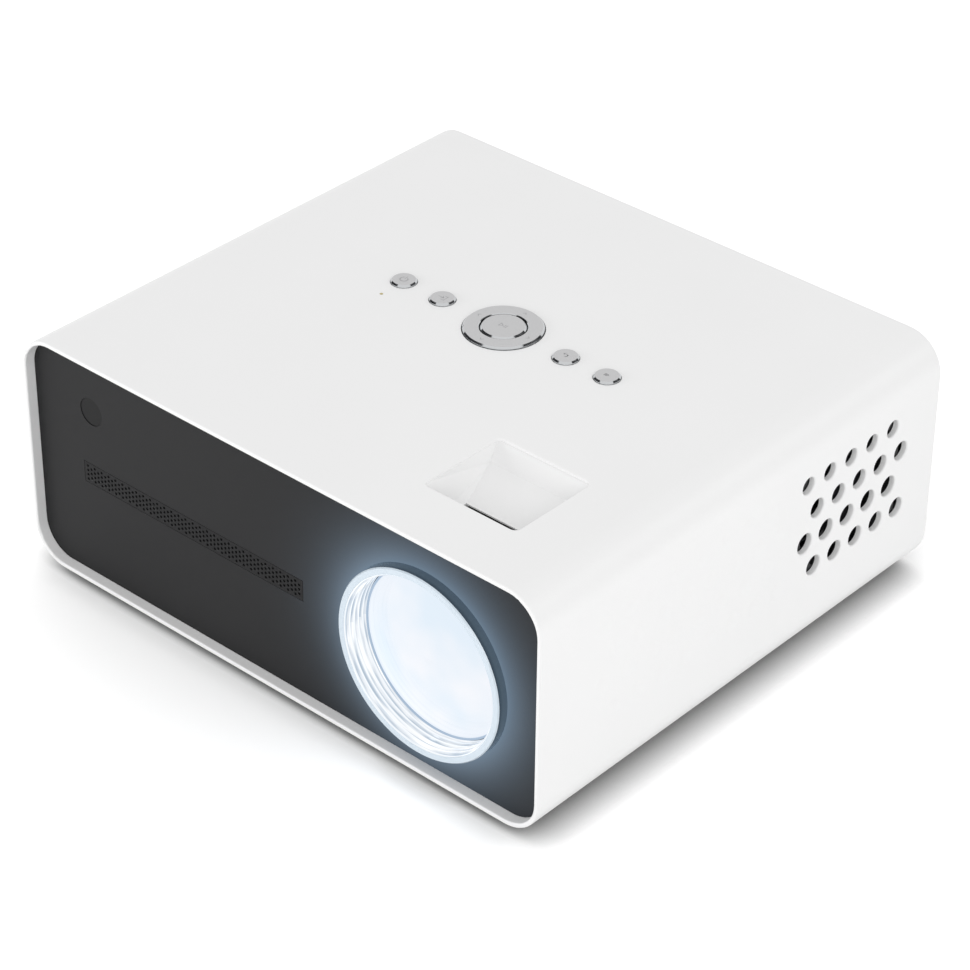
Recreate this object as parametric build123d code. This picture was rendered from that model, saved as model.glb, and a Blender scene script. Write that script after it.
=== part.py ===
from build123d import *
from math import cos, pi, radians, sin, sqrt
import os

os.makedirs("parts", exist_ok=True)

# A home cinema projector with a slim disc player inside.
# X runs to the lens side, the lens looks along -Y, Z is up and the feet stand on Z = 0.

# ---------------------------------------------------------------- casing
shell_width = 250.0
shell_depth = 220.0
shell_height = 98.0
shell_corner = 15.0
shell_wall = 2.5
rim_width = 1.8
rim_easing = 0.6
foot_height = 3.0

shell_bottom = foot_height
shell_top = foot_height + shell_height
ceiling = shell_top - shell_wall
floor_top = shell_bottom + shell_wall
mid_z = foot_height + shell_height / 2
side_x = shell_width / 2
inner_x = side_x - shell_wall
front_y = -shell_depth / 2
rear_y = shell_depth / 2

# ---------------------------------------------------------------- clearances
panel_gap = 0.15
screw_gap = 0.05
shaft_gap = 0.05
seat_gap = 0.2
loose_gap = 0.3
joint_gap = 0.4

# ---------------------------------------------------------------- end panels
panel_recess = 4.3
panel_thick = 2.5
rear_recess = 3.0
front_face = front_y + panel_recess
front_inside = front_face + panel_thick
rear_face = rear_y - rear_recess
rear_inside = rear_face - panel_thick

# ---------------------------------------------------------------- lens
lens_x = 70.3
lens_z = foot_height + 45.9
trim_radius = 36.9
trim_mouth = 34.1
trim_throat = 33.3
trim_length = 10.5
trim_flange = 2.0
trim_flange_thick = 1.5
trim_ribs = 4
trim_rib_start = 1.4
trim_rib_height = 0.55
barrel_wall = 3.0
barrel_lip = 0.8
barrel_length = 48.0
mount_wall = 2.4
front_lens_edge = 3.0
front_lens_bulge = 4.2
focus_ring_radius = 41.5
focus_ring_width = 10.0
focus_ring_teeth = 72
focus_tooth_depth = 0.7
focus_travel = 2.5
focus_peg_radius = 1.2
focus_peg_reach = 1.2
barrel_overlap = 1.0

trim_rear = front_y + trim_length
barrel_radius = trim_throat - joint_gap
barrel_front = trim_rear - barrel_overlap
barrel_rear = barrel_front + barrel_length
mount_bore = barrel_radius + shaft_gap
mount_radius = mount_bore + mount_wall

# ---------------------------------------------------------------- finger recess over the focus ring
recess_width = 41.5
recess_length = 38.2
recess_from_front = 26.0
recess_plan_corner = 2.5
recess_back_slope = 6.3
recess_side_lean = 1.6
recess_floor_half = 12.4
recess_slot_half = 12.0
recess_slot_lip = 0.6
recess_slot_rear = 0.2
recess_undercut = 3.0
recess_wall = 2.0
recess_over_ring = 0.6
recess_edge_easing = 0.8
recess_easing_steps = 4

recess_front = front_y + recess_from_front
recess_back = recess_front + recess_length
recess_floor = lens_z + focus_ring_radius + recess_over_ring
ring_front = recess_front + 1.6
ring_rear = ring_front + focus_ring_width
ramp_end = ring_rear + 1.2

# ---------------------------------------------------------------- side vents
vent_pitch_y = 12.4
vent_pitch_z = 12.35
vent_columns = 5
vent_first_y = 32.8
vent_top_z = foot_height + 73.1
vent_radii = [3.4, 3.8, 4.1, 3.9]
vent_easing = 0.7
dimple_columns = 8
dimple_first_y = -77.4
dimple_pitch_y = 12.7
dimple_radius = 3.8
dimple_depth = 0.3

# ---------------------------------------------------------------- front grille and receiver window
grille_width = 111.4
grille_height = 8.6
grille_x = -43.4
grille_z = foot_height + 46.6
grille_flange = 1.2
grille_flange_thick = 0.8
grille_hole = 0.55
grille_pitch = 1.83
grille_pitch_z = 0.95
window_x = -93.5
window_z = foot_height + 74.3
window_radius = 5.5
window_thick = 1.6

# ---------------------------------------------------------------- keys on the top
key_row_y = 8.8
key_xs = [-46.4, -27.1, 32.5, 51.8]
nav_x = 2.8
key_radius = 5.0
key_proud = 1.0
key_travel = 0.5
key_flange = 1.2
key_chamfer = 0.6
nav_radius = 15.0
nav_bore = 8.9
nav_tilt = 1.8
ok_radius = 8.5
ok_proud = 1.2
light_radius = 0.7
light_y = -3.3
board_thick = 1.6
key_board_top = ceiling - 7.0
switch_side = 6.0
switch_body = 3.5
switch_plunger = 1.0
nav_switch_radius = 12.4
key_boss_places = [(-36.7, 8.8), (24.0, 22.3), (42.2, 8.8)]
key_boss_radius = 2.6

# ---------------------------------------------------------------- chassis, boards and screws
chassis_thick = 2.0
chassis_margin = 0.5
boss_height = 5.0
boss_radius = 3.2
screw_radius = 1.25
screw_head = 2.4
screw_head_thick = 1.4
chassis_x = side_x - shell_corner - chassis_margin
chassis_front = front_inside + 5.0
chassis_rear = rear_inside - 2.0
chassis_top = floor_top + chassis_thick
board_bottom = chassis_top + boss_height
board_top = board_bottom + board_thick

main_board_x0 = -102.0
main_board_x1 = -12.5
main_board_y0 = 34.0
power_board_y0 = -76.0
power_board_y1 = 16.0
board_hole_inset = 4.5

# ---------------------------------------------------------------- disc drive
drive_width = 128.0
drive_length = 127.0
drive_height = 12.7
drive_sheet = 0.8
drive_y = 20.0
drive_bottom = foot_height + 55.0
bezel_thick = 4.0
slot_gap = 0.4
eject_width = 9.0
eject_height = 3.2
eject_travel = 0.6
tray_deck = 8.0
tray_well_depth = 2.8
tray_under = 1.8
disc_radius = 60.0
disc_well_gap = 0.9
rail_width = 1.8
rail_height = 4.0
turntable_radius = 13.0
spigot_radius = 7.4
spindle_radius = 11.0
pickup_length = 16.0
pickup_width = 34.0
pickup_travel = 33.0
guide_radius = 1.0
guide_offset = 13.0
lead_screw_radius = 1.2
lead_screw_offset = 22.0
sled_motor_radius = 3.6
sled_motor_length = 8.0
drive_post_radius = 4.0
drive_post_inset_x = 14.0
drive_post_inset_y = 8.0

drive_front = -side_x + bezel_thick + joint_gap
drive_rear = drive_front + drive_length
drive_top = drive_bottom + drive_height
tray_half = drive_width / 2 - drive_sheet - rail_width - 2 * seat_gap
tray_rear = drive_rear - drive_sheet - joint_gap
tray_front = -side_x + bezel_thick
disc_x = tray_front + disc_radius + 1.0

# ---------------------------------------------------------------- optical engine
engine_half_width = 48.0
engine_half_height = 37.5
engine_wall = 2.0
engine_front = recess_back + 2.0
engine_box_length = 42.0
engine_taper_length = 48.0
engine_throat = 23.0
lens_plate_thick = 3.0
lamp_board = 40.0
lamp_board_thick = 2.0
lamp_chip = 20.0
sink_half_width = 31.0
sink_half_height = 37.5
sink_base = 5.0
sink_fins = 11
sink_fin_thick = 1.4
sink_depth = 45.0
panel_glass_thick = 2.0
lcd_half_width = 45.0
lcd_half_height = 29.0

engine_taper_start = engine_front + engine_box_length
engine_rear = engine_taper_start + engine_taper_length
sink_front = engine_rear + lamp_board_thick

# ---------------------------------------------------------------- fan
fan_size = 60.0
fan_depth = 15.0
fan_bore = 28.4
fan_hub = 12.0
fan_blades = 7
fan_blade_gap = 1.0
fan_screw_inset = 5.0
fan_y = vent_first_y + (vent_columns - 1) / 2 * vent_pitch_y + vent_pitch_y / 4
fan_z = vent_top_z - 1.5 * vent_pitch_z
fan_outer = inner_x - loose_gap
fan_inner = fan_outer - fan_depth

# ---------------------------------------------------------------- underside
foot_xs = [-100.0, 100.0]
foot_ys = [-88.0, 88.0]
foot_radius = 7.0
foot_sink = 0.5
case_screw_xs = [-85.0, 85.0]
case_screw_ys = [-60.0, 0.0, 60.0]
base_half_x = 78.0
base_half_y = 76.0
base_corner = 6.0
base_screw_x = 71.0
base_screw_y = 62.0
base_slot_x = -52.0
base_slot_y = 32.0
base_slot_count = 11
base_slot_pitch = 5.0
base_slot_width = 2.2
base_slot_length = 26.0
base_slot_margin = 3.0
tripod_collar = 3.0
tripod_radius = 6.0
tripod_bore = 2.55
tripod_length = 10.0
tripod_y = 0.0
level_x = 0.0
level_y = -91.5
level_radius = 9.0
level_recess = 1.2
level_stud = 3.0
level_travel = 12.0
level_stud_grip = 12.0
level_pad_thick = 1.0
level_off_floor = 0.6

# ---------------------------------------------------------------- rear sockets
hdmi_x = -92.0
hdmi_width = 15.0
hdmi_height = 5.8
usb_xs = [-70.0, -52.0]
usb_width = 13.6
usb_height = 6.6
socket_depth = 13.0
jack_xs = [-34.0, -22.0]
jack_side = 7.4
jack_bore = 1.8
jack_nose = 3.4
jack_length = 12.0
jack_z = board_top + 4.0
inlet_x = 18.0
inlet_z = foot_height + 34.0
inlet_width = 24.0
inlet_height = 15.0
inlet_depth = 20.0
inlet_socket_width = 17.0
inlet_socket_height = 8.6
inlet_socket_depth = 14.0
inlet_pin_radius = 1.2
inlet_pin_spacing = 8.6

# ---------------------------------------------------------------- sound
speaker_xs = [-72.0, -15.0]
speaker_width = 42.0
speaker_height = 28.0
speaker_basket = 6.0
speaker_magnet_radius = 11.0
speaker_magnet = 10.0


# ================================================================ small makers of plain forms
def block(x0, x1, y0, y1, z0, z1):
    """A rectangular solid between two corners."""
    return Pos((x0 + x1) / 2, (y0 + y1) / 2, (z0 + z1) / 2) * Box(x1 - x0, y1 - y0, z1 - z0)


def rod_x(radius, x0, x1, y, z):
    return Pos((x0 + x1) / 2, y, z) * Rot(0, 90, 0) * Cylinder(radius, x1 - x0)


def rod_y(radius, x, y0, y1, z):
    return Pos(x, (y0 + y1) / 2, z) * Rot(90, 0, 0) * Cylinder(radius, y1 - y0)


def rod_z(radius, x, y, z0, z1):
    return Pos(x, y, (z0 + z1) / 2) * Cylinder(radius, z1 - z0)


def slab_y(outline, y0, y1):
    """An outline drawn in X and Z, made thick from y0 to y1."""
    plane = Plane(origin=(0, y1, 0), x_dir=(1, 0, 0), z_dir=(0, -1, 0))
    return extrude(plane * outline, y1 - y0)


def slab_x(outline, x0, x1):
    """An outline drawn in Y and Z, made thick from x0 to x1."""
    return extrude(Plane.YZ.offset(x0) * outline, x1 - x0)


def slab_z(outline, z0, z1):
    return extrude(Pos(0, 0, z0) * outline, z1 - z0)


def turned_y(points, x, z):
    """A profile of (radius, y) points turned about a line along Y."""
    face = make_face(Polyline(*points, close=True))
    return Pos(x, 0, z) * revolve(face, Axis.Y)


def turned_z(points, x, y):
    """A profile of (radius, z) points turned about a line along Z."""
    corners = [(radius, 0, height) for radius, height in points]
    face = make_face(Polyline(*corners, close=True))
    return Pos(x, y, 0) * revolve(face, Axis.Z)


def screw_z(x, y, head_z, length, up):
    """A pan head screw whose head rests on head_z and whose shank points up or down."""
    way = 1 if up else -1
    z_head = sorted([head_z, head_z - way * screw_head_thick])
    z_shank = sorted([head_z, head_z + way * length])
    head = rod_z(screw_head, x, y, z_head[0], z_head[1])
    outer_z = head_z - way * screw_head_thick
    rim = head.edges().filter_by(GeomType.CIRCLE).sort_by(lambda e: abs(e.center().Z - outer_z))[0]
    head = fillet(rim, screw_head_thick / 3)
    cross = block(x - 1.5, x + 1.5, y - 0.3, y + 0.3, outer_z - 0.6, outer_z + 0.6)
    cross += block(x - 0.3, x + 0.3, y - 1.5, y + 1.5, outer_z - 0.6, outer_z + 0.6)
    return head - cross + rod_z(screw_radius, x, y, z_shank[0], z_shank[1])


def screw_y(x, z, head_y, length, towards_front):
    """The same screw laid along Y: its shank points to -Y or +Y from head_y."""
    upright = screw_z(0, 0, 0, length, True)
    turn = Rot(90, 0, 0) if towards_front else Rot(-90, 0, 0)
    return Pos(x, head_y, z) * turn * upright


def save(name, shape):
    """Write one named piece, or one group of like pieces, to its own file."""
    export_step(shape, f"parts/{name}.step")


def group(solids):
    return Compound(children=list(solids))


# ================================================================ outer shell
def tube_outline(inset):
    corner = shell_corner - inset
    return Pos(0, mid_z) * RectangleRounded(shell_width - 2 * inset, shell_height - 2 * inset, corner)


def recess_points(grow, top):
    """Corners of the finger recess; grow thickens them outwards for the cup around it."""
    half = recess_width / 2 + grow
    floor_half = recess_floor_half + grow
    back = recess_back + grow
    front = recess_front - grow
    slope_y = recess_back - recess_back_slope + grow
    slope_z = shell_top - recess_back_slope - grow
    slope_half = recess_width / 2 - recess_side_lean + grow
    floor_z = recess_floor - grow
    points = []
    for side in (-1, 1):
        points.append((lens_x + side * half, front, top))
        points.append((lens_x + side * half, back, top))
        points.append((lens_x + side * half, front, shell_top - grow))
        points.append((lens_x + side * half, back, shell_top - grow))
        points.append((lens_x + side * slope_half, slope_y, slope_z))
        points.append((lens_x + side * floor_half, ramp_end + grow, floor_z))
        points.append((lens_x + side * floor_half, front, floor_z))
    return points


def recess_cavity():
    funnel = ConvexPolyhedron(recess_points(0, shell_top + 5.0))
    middle = Pos(lens_x, (recess_front + recess_back) / 2)
    plan = middle * RectangleRounded(recess_width, recess_length, recess_plan_corner)
    cavity = funnel & slab_z(plan, recess_floor - 5.0, shell_top + 5.0)
    # the mouth is eased by a quarter round, drawn in a few steps
    sections = []
    for step in range(recess_easing_steps + 1):
        angle = radians(90.0 * step / recess_easing_steps)
        grow = recess_edge_easing * (1 - cos(angle))
        height = shell_top - recess_edge_easing * (1 - sin(angle))
        outline = RectangleRounded(
            recess_width + 2 * grow, recess_length + 2 * grow, recess_plan_corner + grow
        )
        sections.append(Pos(0, 0, height) * middle * outline)
    return cavity + loft(sections, ruled=True)


def key_centres():
    return [(x, key_row_y) for x in key_xs]


def vent_rows():
    """Row number, its height and how far its holes are shifted towards the rear."""
    rows = []
    for row in range(len(vent_radii)):
        rows.append((row, vent_top_z - row * vent_pitch_z, (row % 2) * vent_pitch_y / 2))
    return rows


def make_outer_shell():
    shell = slab_y(tube_outline(0), front_y, rear_y)
    shell -= slab_y(tube_outline(shell_wall), front_y, rear_y)
    shell -= slab_y(tube_outline(rim_width), front_y, front_inside)
    shell -= slab_y(tube_outline(rim_width), rear_inside, rear_y)
    front_edges = shell.edges().filter_by_position(Axis.Y, front_y - 0.01, front_y + 0.01)
    shell = fillet(front_edges, rim_easing)
    rear_edges = shell.edges().filter_by_position(Axis.Y, rear_y - 0.01, rear_y + 0.01)
    shell = fillet(rear_edges, rim_easing / 2)

    # vents through the lens side, and the row of shallow dimples that runs on to the front
    vents = []
    dimples = []
    ball = (dimple_radius**2 + dimple_depth**2) / (2 * dimple_depth)
    for row, height, shift in vent_rows():
        for column in range(vent_columns):
            y = vent_first_y + shift + column * vent_pitch_y
            vents.append(rod_x(vent_radii[row], inner_x - 1, side_x + 1, y, height))
        for column in range(dimple_columns):
            y = dimple_first_y + shift + column * dimple_pitch_y
            dimples.append(Pos(side_x + ball - dimple_depth, y, height) * Sphere(ball))
    shell -= vents
    vent_edges = shell.edges().filter_by(GeomType.CIRCLE)
    vent_edges = vent_edges.filter_by_position(Axis.X, side_x - 0.01, side_x + 0.01)
    shell = fillet(vent_edges, vent_easing)
    shell -= dimples

    # finger recess with the slot that shows the focus ring
    cup = ConvexPolyhedron(recess_points(recess_wall, shell_top - recess_wall / 2))
    shell += cup
    shell -= recess_cavity()
    shell -= block(
        lens_x - recess_slot_half, lens_x + recess_slot_half,
        ring_front - 1.0, ring_rear + recess_slot_rear,
        recess_floor - recess_wall - 1, recess_floor + 1,
    )
    # a thin lip at the slot's rear edge, so that the slot reads as a dark line
    shell -= block(
        lens_x - recess_slot_half, lens_x + recess_slot_half,
        ring_rear, ring_rear + recess_undercut,
        recess_floor - recess_wall - 1, recess_floor - recess_slot_lip,
    )

    # key holes and the bosses that hold the key board
    holes = [rod_z(key_radius + seat_gap, x, y, ceiling - 1, shell_top + 1) for x, y in key_centres()]
    holes.append(rod_z(nav_radius + joint_gap, nav_x, key_row_y, ceiling - 1, shell_top + 1))
    holes.append(rod_z(light_radius, key_xs[0], light_y, ceiling - 1, shell_top + 1))
    shell -= holes
    bosses = []
    for x, y in key_boss_places:
        boss = rod_z(key_boss_radius, x, y, key_board_top, ceiling + 0.5)
        bosses.append(boss - rod_z(screw_radius + screw_gap, x, y, key_board_top, ceiling - 1))
    shell += bosses

    # slot for the disc tray
    slot_half = drive_width / 2 + slot_gap
    slot_low = drive_bottom - slot_gap
    slot_high = drive_top + slot_gap
    shell -= block(-side_x - 1, -inner_x + 1, drive_y - slot_half, drive_y + slot_half, slot_low, slot_high)

    # underside: foot seats, screw holes, the base cover's opening and the levelling foot
    for x in foot_xs:
        for y in foot_ys:
            shell -= rod_z(foot_radius, x, y, shell_bottom, shell_bottom + foot_sink)
    for x in case_screw_xs:
        for y in case_screw_ys:
            shell -= rod_z(screw_radius + screw_gap, x, y, shell_bottom, floor_top)
            shell -= rod_z(screw_head + seat_gap, x, y, shell_bottom, shell_bottom + screw_head_thick)
    shell -= slab_z(base_outline(panel_gap), shell_bottom - 1, floor_top + 1)
    shell -= rod_z(level_radius + joint_gap, level_x, level_y, shell_bottom, shell_bottom + level_recess)
    shell -= rod_z(level_stud + joint_gap, level_x, level_y, shell_bottom, floor_top)

    # holes for the four rear screws, in small ears behind the rear panel
    for x, z in rear_screw_places():
        ear = block(*ear_span(x), rear_inside - 6, rear_inside, z - 4, z + 4)
        shell += ear
        shell -= rod_y(screw_radius + screw_gap, x, rear_inside - 6, rear_inside, z)
    return shell


def rear_screw_places():
    inset = 6.0
    return [(side * (inner_x - inset), z) for side in (-1, 1) for z in (mid_z - 26, mid_z + 28)]


def ear_span(x):
    """The ear reaches from just past its screw to the side wall."""
    if x < 0:
        return (-inner_x - 0.5, x + 4)
    return (x - 4, inner_x + 0.5)


# ================================================================ front
def make_front_panel():
    panel = slab_y(tube_outline(rim_width + panel_gap), front_face, front_inside)
    panel -= rod_y(trim_radius + panel_gap, lens_x, front_face - 1, front_inside + 1, lens_z)
    window = Pos(grille_x, grille_z) * Rectangle(grille_width + 2 * seat_gap, grille_height + 2 * seat_gap)
    panel -= slab_y(window, front_face - 1, front_inside + 1)
    panel -= rod_y(window_radius + panel_gap, window_x, front_face - 1, front_inside + 1, window_z)
    return panel


def make_front_grille():
    face = Pos(grille_x, grille_z) * Rectangle(grille_width, grille_height)
    back = Pos(grille_x, grille_z) * Rectangle(
        grille_width + 2 * (seat_gap + grille_flange), grille_height + 2 * (seat_gap + grille_flange)
    )
    grille = slab_y(face, front_face, front_inside)
    grille += slab_y(back, front_inside, front_inside + grille_flange_thick)
    columns = int((grille_width - 1.2) / grille_pitch)
    first_x = grille_x - (columns - 1) / 2 * grille_pitch
    holes = []
    for column in range(columns):
        heights = (-3, -1, 1, 3) if column % 2 == 0 else (-2, 0, 2)
        for step in heights:
            holes.append((first_x + column * grille_pitch, grille_z + step * grille_pitch_z))
    pattern = Sketch() + [Pos(x, z) * Circle(grille_hole) for x, z in holes]
    return grille - slab_y(pattern, front_face - 1, front_inside + grille_flange_thick + 1)


def make_ir_window():
    lens = rod_y(window_radius, window_x, front_face + 0.2, front_inside, window_z)
    back = rod_y(window_radius + 1.5, window_x, front_inside, front_inside + window_thick, window_z)
    return lens + back


def make_ir_sensor():
    """Infrared receiver on its small board, standing behind the window."""
    board_y = front_inside + window_thick + 4.0
    board = block(window_x - 8, window_x + 8, board_y, board_y + board_thick, window_z - 9, window_z + 9)
    body = block(window_x - 3, window_x + 3, board_y - 3.6, board_y, window_z - 3.5, window_z + 3.5)
    eye = rod_y(2.2, window_x, front_inside + window_thick + seat_gap, board_y - 3.0, window_z)
    return board + body + eye


def make_lens_trim_ring():
    """Pale ring around the lens, with the stepped ribs of its inner wall."""
    rib_pitch = (trim_length - trim_rib_start - 0.6) / trim_ribs
    points = [(trim_radius, front_y + 0.5), (trim_radius - 0.4, front_y), (trim_mouth + 0.3, front_y)]
    points.append((trim_mouth, front_y + 0.4))
    points.append((trim_mouth - 0.1, front_y + trim_rib_start))
    for rib in range(trim_ribs):
        start = front_y + trim_rib_start + rib * rib_pitch
        points.append((trim_throat, start + 0.25))
        points.append((trim_throat + 0.1, start + rib_pitch * 0.55))
        points.append((trim_throat + trim_rib_height, start + rib_pitch * 0.7))
        points.append((trim_throat + trim_rib_height - 0.1, start + rib_pitch * 0.97))
    points.append((trim_throat, trim_rear))
    flange_rear = front_inside + trim_flange_thick
    points.append((trim_throat + 1.6, trim_rear))
    points.append((trim_throat + 1.6, flange_rear))
    points.append((trim_radius + trim_flange, flange_rear))
    points.append((trim_radius + trim_flange, front_inside))
    points.append((trim_radius, front_inside))
    return turned_y(points, lens_x, lens_z)


# ================================================================ projection lens
def lens_element(radius, y_edge0, y_edge1, front_bulge, rear_bulge):
    """A lens about the optical axis: flat-edged, with a domed face each way."""
    def dome(y_edge, bulge, way):
        ball = (radius**2 + bulge**2) / (2 * bulge)
        drop = ball - sqrt(ball**2 - (radius / 2) ** 2)
        tip = y_edge + way * bulge
        return ThreePointArc((0, tip), (radius / 2, tip - way * drop), (radius, y_edge))

    front = dome(y_edge0, front_bulge, -1)
    rear = dome(y_edge1, rear_bulge, 1)
    side = Line((radius, y_edge0), (radius, y_edge1))
    axis_line = Line((0, y_edge0 - front_bulge), (0, y_edge1 + rear_bulge))
    face = make_face([front, side, rear, axis_line])
    return Pos(lens_x, 0, lens_z) * revolve(face, Axis.Y)


def make_lens_barrel():
    bore = barrel_radius - barrel_wall
    seat = barrel_radius - barrel_lip
    seat_depth = front_lens_seat() + front_lens_edge + 0.25
    points = [
        (seat, barrel_front), (barrel_radius - 0.3, barrel_front), (barrel_radius, barrel_front + 0.3),
        (barrel_radius, barrel_rear), (bore - 4.0, barrel_rear), (bore - 4.0, barrel_rear - 4.0),
        (bore, barrel_rear - 6.0), (bore, seat_depth), (seat, seat_depth),
    ]
    peg_tip = lens_x - mount_radius - focus_peg_reach
    peg = rod_x(focus_peg_radius, peg_tip, lens_x - barrel_radius + 1.0, focus_peg_y(), lens_z)
    return turned_y(points, lens_x, lens_z) + peg


def focus_peg_y():
    """The barrel's peg passes through a slot of the tube into the groove of the focus ring."""
    return (ring_front + ring_rear) / 2


def focus_peg_room():
    return focus_travel + focus_peg_radius + seat_gap


def front_lens_seat():
    return barrel_front + 0.6


def make_front_lens():
    radius = barrel_radius - barrel_lip - shaft_gap
    start = front_lens_seat()
    return lens_element(radius, start, start + front_lens_edge, front_lens_bulge, 1.5)


def make_rear_lenses():
    """Two inner elements, each with a spacer ring's worth of flat edge."""
    radius = barrel_radius - barrel_wall - shaft_gap
    middle = lens_element(radius, barrel_front + 20, barrel_front + 23, 2.0, 3.0)
    rear = lens_element(radius, barrel_rear - 16, barrel_rear - 12, 2.5, 3.0)
    return group([middle, rear])


def make_lens_mount():
    """Fixed tube that the barrel slides in, with the plate that closes the engine."""
    lip = mount_radius + 0.9
    tube_front = ring_front - 2.2
    points = [
        (mount_bore, tube_front), (lip, tube_front), (lip, ring_front - loose_gap),
        (mount_radius, ring_front - loose_gap), (mount_radius, ring_rear + loose_gap),
        (mount_radius + 3.5, ring_rear + loose_gap), (mount_radius + 3.5, ring_rear + 2.5),
        (mount_radius, ring_rear + 2.5), (mount_radius, engine_front),
        (mount_bore, engine_front),
    ]
    mount = turned_y(points, lens_x, lens_z)
    outline = Pos(lens_x, lens_z) * RectangleRounded(2 * engine_half_width, 2 * engine_half_height, 3.0)
    plate_rear = engine_front
    plate_front = engine_front - lens_plate_thick
    mount += slab_y(outline, plate_front, plate_rear)
    mount -= rod_y(mount_bore, lens_x, plate_front - 1, plate_rear + 1, lens_z)
    for x, z in lens_plate_screws():
        mount -= rod_y(screw_radius + screw_gap, x, plate_front - 1, plate_rear + 1, z)
    mount -= block(
        lens_x - mount_radius - 1, lens_x - mount_bore + 1,
        focus_peg_y() - focus_peg_room(), focus_peg_y() + focus_peg_room(),
        lens_z - focus_peg_radius - shaft_gap, lens_z + focus_peg_radius + shaft_gap,
    )
    return mount


def lens_plate_screws():
    across = engine_half_width - 5.0
    up = engine_half_height - 5.0
    return [(lens_x + sx * across, lens_z + sz * up) for sx in (-1, 1) for sz in (-1, 1)]


def make_focus_ring():
    bore = mount_radius + shaft_gap
    groove = mount_radius + focus_peg_reach + loose_gap
    ring = turned_y(
        [
            (bore, ring_front), (focus_ring_radius - 0.8, ring_front),
            (focus_ring_radius, ring_front + 0.8), (focus_ring_radius, ring_rear - 0.8),
            (focus_ring_radius - 0.8, ring_rear), (bore, ring_rear),
            (bore, focus_peg_y() + focus_peg_room()), (groove, focus_peg_y() + focus_peg_room()),
            (groove, focus_peg_y() - focus_peg_room()), (bore, focus_peg_y() - focus_peg_room()),
        ],
        lens_x, lens_z,
    )
    notch = pi * focus_ring_radius / focus_ring_teeth / 2
    cuts = []
    for tooth in range(focus_ring_teeth):
        angle = 360.0 / focus_ring_teeth * tooth
        cut = Pos(focus_ring_radius, (ring_front + ring_rear) / 2, 0) * Box(
            2 * focus_tooth_depth, focus_ring_width + 2, 2 * notch
        )
        cuts.append(Pos(lens_x, 0, lens_z) * Rot(0, angle, 0) * cut)
    return ring - cuts


# ================================================================ optical engine
def engine_rect(inset):
    return Rectangle(2 * (engine_half_width - inset), 2 * (engine_half_height - inset))


def engine_form(inset):
    """The light box and its narrowing rear, as one solid."""
    plane_front = Plane(origin=(lens_x, engine_front, lens_z), x_dir=(1, 0, 0), z_dir=(0, 1, 0))
    plane_mid = Plane(origin=(lens_x, engine_taper_start, lens_z), x_dir=(1, 0, 0), z_dir=(0, 1, 0))
    plane_rear = Plane(origin=(lens_x, engine_rear, lens_z), x_dir=(1, 0, 0), z_dir=(0, 1, 0))
    small = Rectangle(2 * (engine_throat - inset), 2 * (engine_throat - inset))
    box = extrude(plane_front * engine_rect(inset), engine_box_length)
    return box + loft([plane_mid * engine_rect(inset), plane_rear * small])


def make_engine_case():
    case = engine_form(0) - engine_form(engine_wall)
    # corner blocks take the screws of the lens plate, and four legs stand on the chassis
    for x, z in lens_plate_screws():
        corner = block(x - 3.4, x + 3.4, engine_front, engine_front + 8, z - 3.4, z + 3.4)
        case += corner
        case -= rod_y(screw_radius + screw_gap, x, engine_front, engine_front + 7, z)
    for x in (-1, 1):
        for y in (engine_front + 8, engine_taper_start - 8):
            leg_x = lens_x + x * (engine_half_width - 16)
            case += rod_z(4.0, leg_x, y, chassis_top, lens_z - engine_half_height + 1)
    # ledges hold the two flat lenses and the picture panel
    for y in picture_glass_places():
        for side in (-1, 1):
            wall_x = lens_x + side * (engine_half_width - engine_wall)
            x0, x1 = sorted([wall_x + side * 0.5, wall_x - side * 2.5])
            back = y + panel_glass_thick / 2 + seat_gap
            case += block(x0, x1, back, back + 1.5, lens_z - 20, lens_z + 20)
    return case


def picture_glass_places():
    """Centres along Y of the two Fresnel lenses and, between them, the picture panel."""
    middle = engine_front + 22.0
    return [middle - 12.0, middle, middle + 12.0]


def glass_sheet(y, thick):
    half_x = engine_half_width - engine_wall - seat_gap
    half_z = engine_half_height - engine_wall - seat_gap
    return block(
        lens_x - half_x, lens_x + half_x, y - thick / 2, y + thick / 2, lens_z - half_z, lens_z + half_z
    )


def make_fresnel_lenses():
    places = picture_glass_places()
    return group([glass_sheet(places[0], panel_glass_thick), glass_sheet(places[2], panel_glass_thick)])


def make_lcd_panel():
    """Liquid crystal panel in its frame, with the flat cable tab at its lower edge."""
    y = picture_glass_places()[1]
    frame = glass_sheet(y, panel_glass_thick)
    sunk = block(
        lens_x - lcd_half_width + 4, lens_x + lcd_half_width - 4,
        y - panel_glass_thick, y - panel_glass_thick / 2 + 0.4,
        lens_z - lcd_half_height, lens_z + lcd_half_height,
    )
    return frame - sunk


def make_condenser_lens():
    """Thick plano-convex collector in front of the lamp, in its square holder."""
    holder_y = engine_rear - 12.0
    travelled = (holder_y + 3.0 - engine_taper_start) / engine_taper_length
    half_z = engine_half_height - travelled * (engine_half_height - engine_throat) - engine_wall - 0.6
    radius = half_z - 3.5
    holder = block(
        lens_x - half_z, lens_x + half_z, holder_y, holder_y + 3.0, lens_z - half_z, lens_z + half_z
    )
    return holder + lens_element(radius, holder_y, holder_y + 3.0, 6.0, 1.0)


def make_led_lamp():
    """Copper-cored lamp board with the square white chip."""
    half = lamp_board / 2
    board = block(lens_x - half, lens_x + half, engine_rear, sink_front, lens_z - half, lens_z + half)
    chip = lamp_chip / 2
    chip_solid = block(
        lens_x - chip, lens_x + chip, engine_rear - 1.0, engine_rear, lens_z - chip, lens_z + chip
    )
    return board + chip_solid


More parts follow.
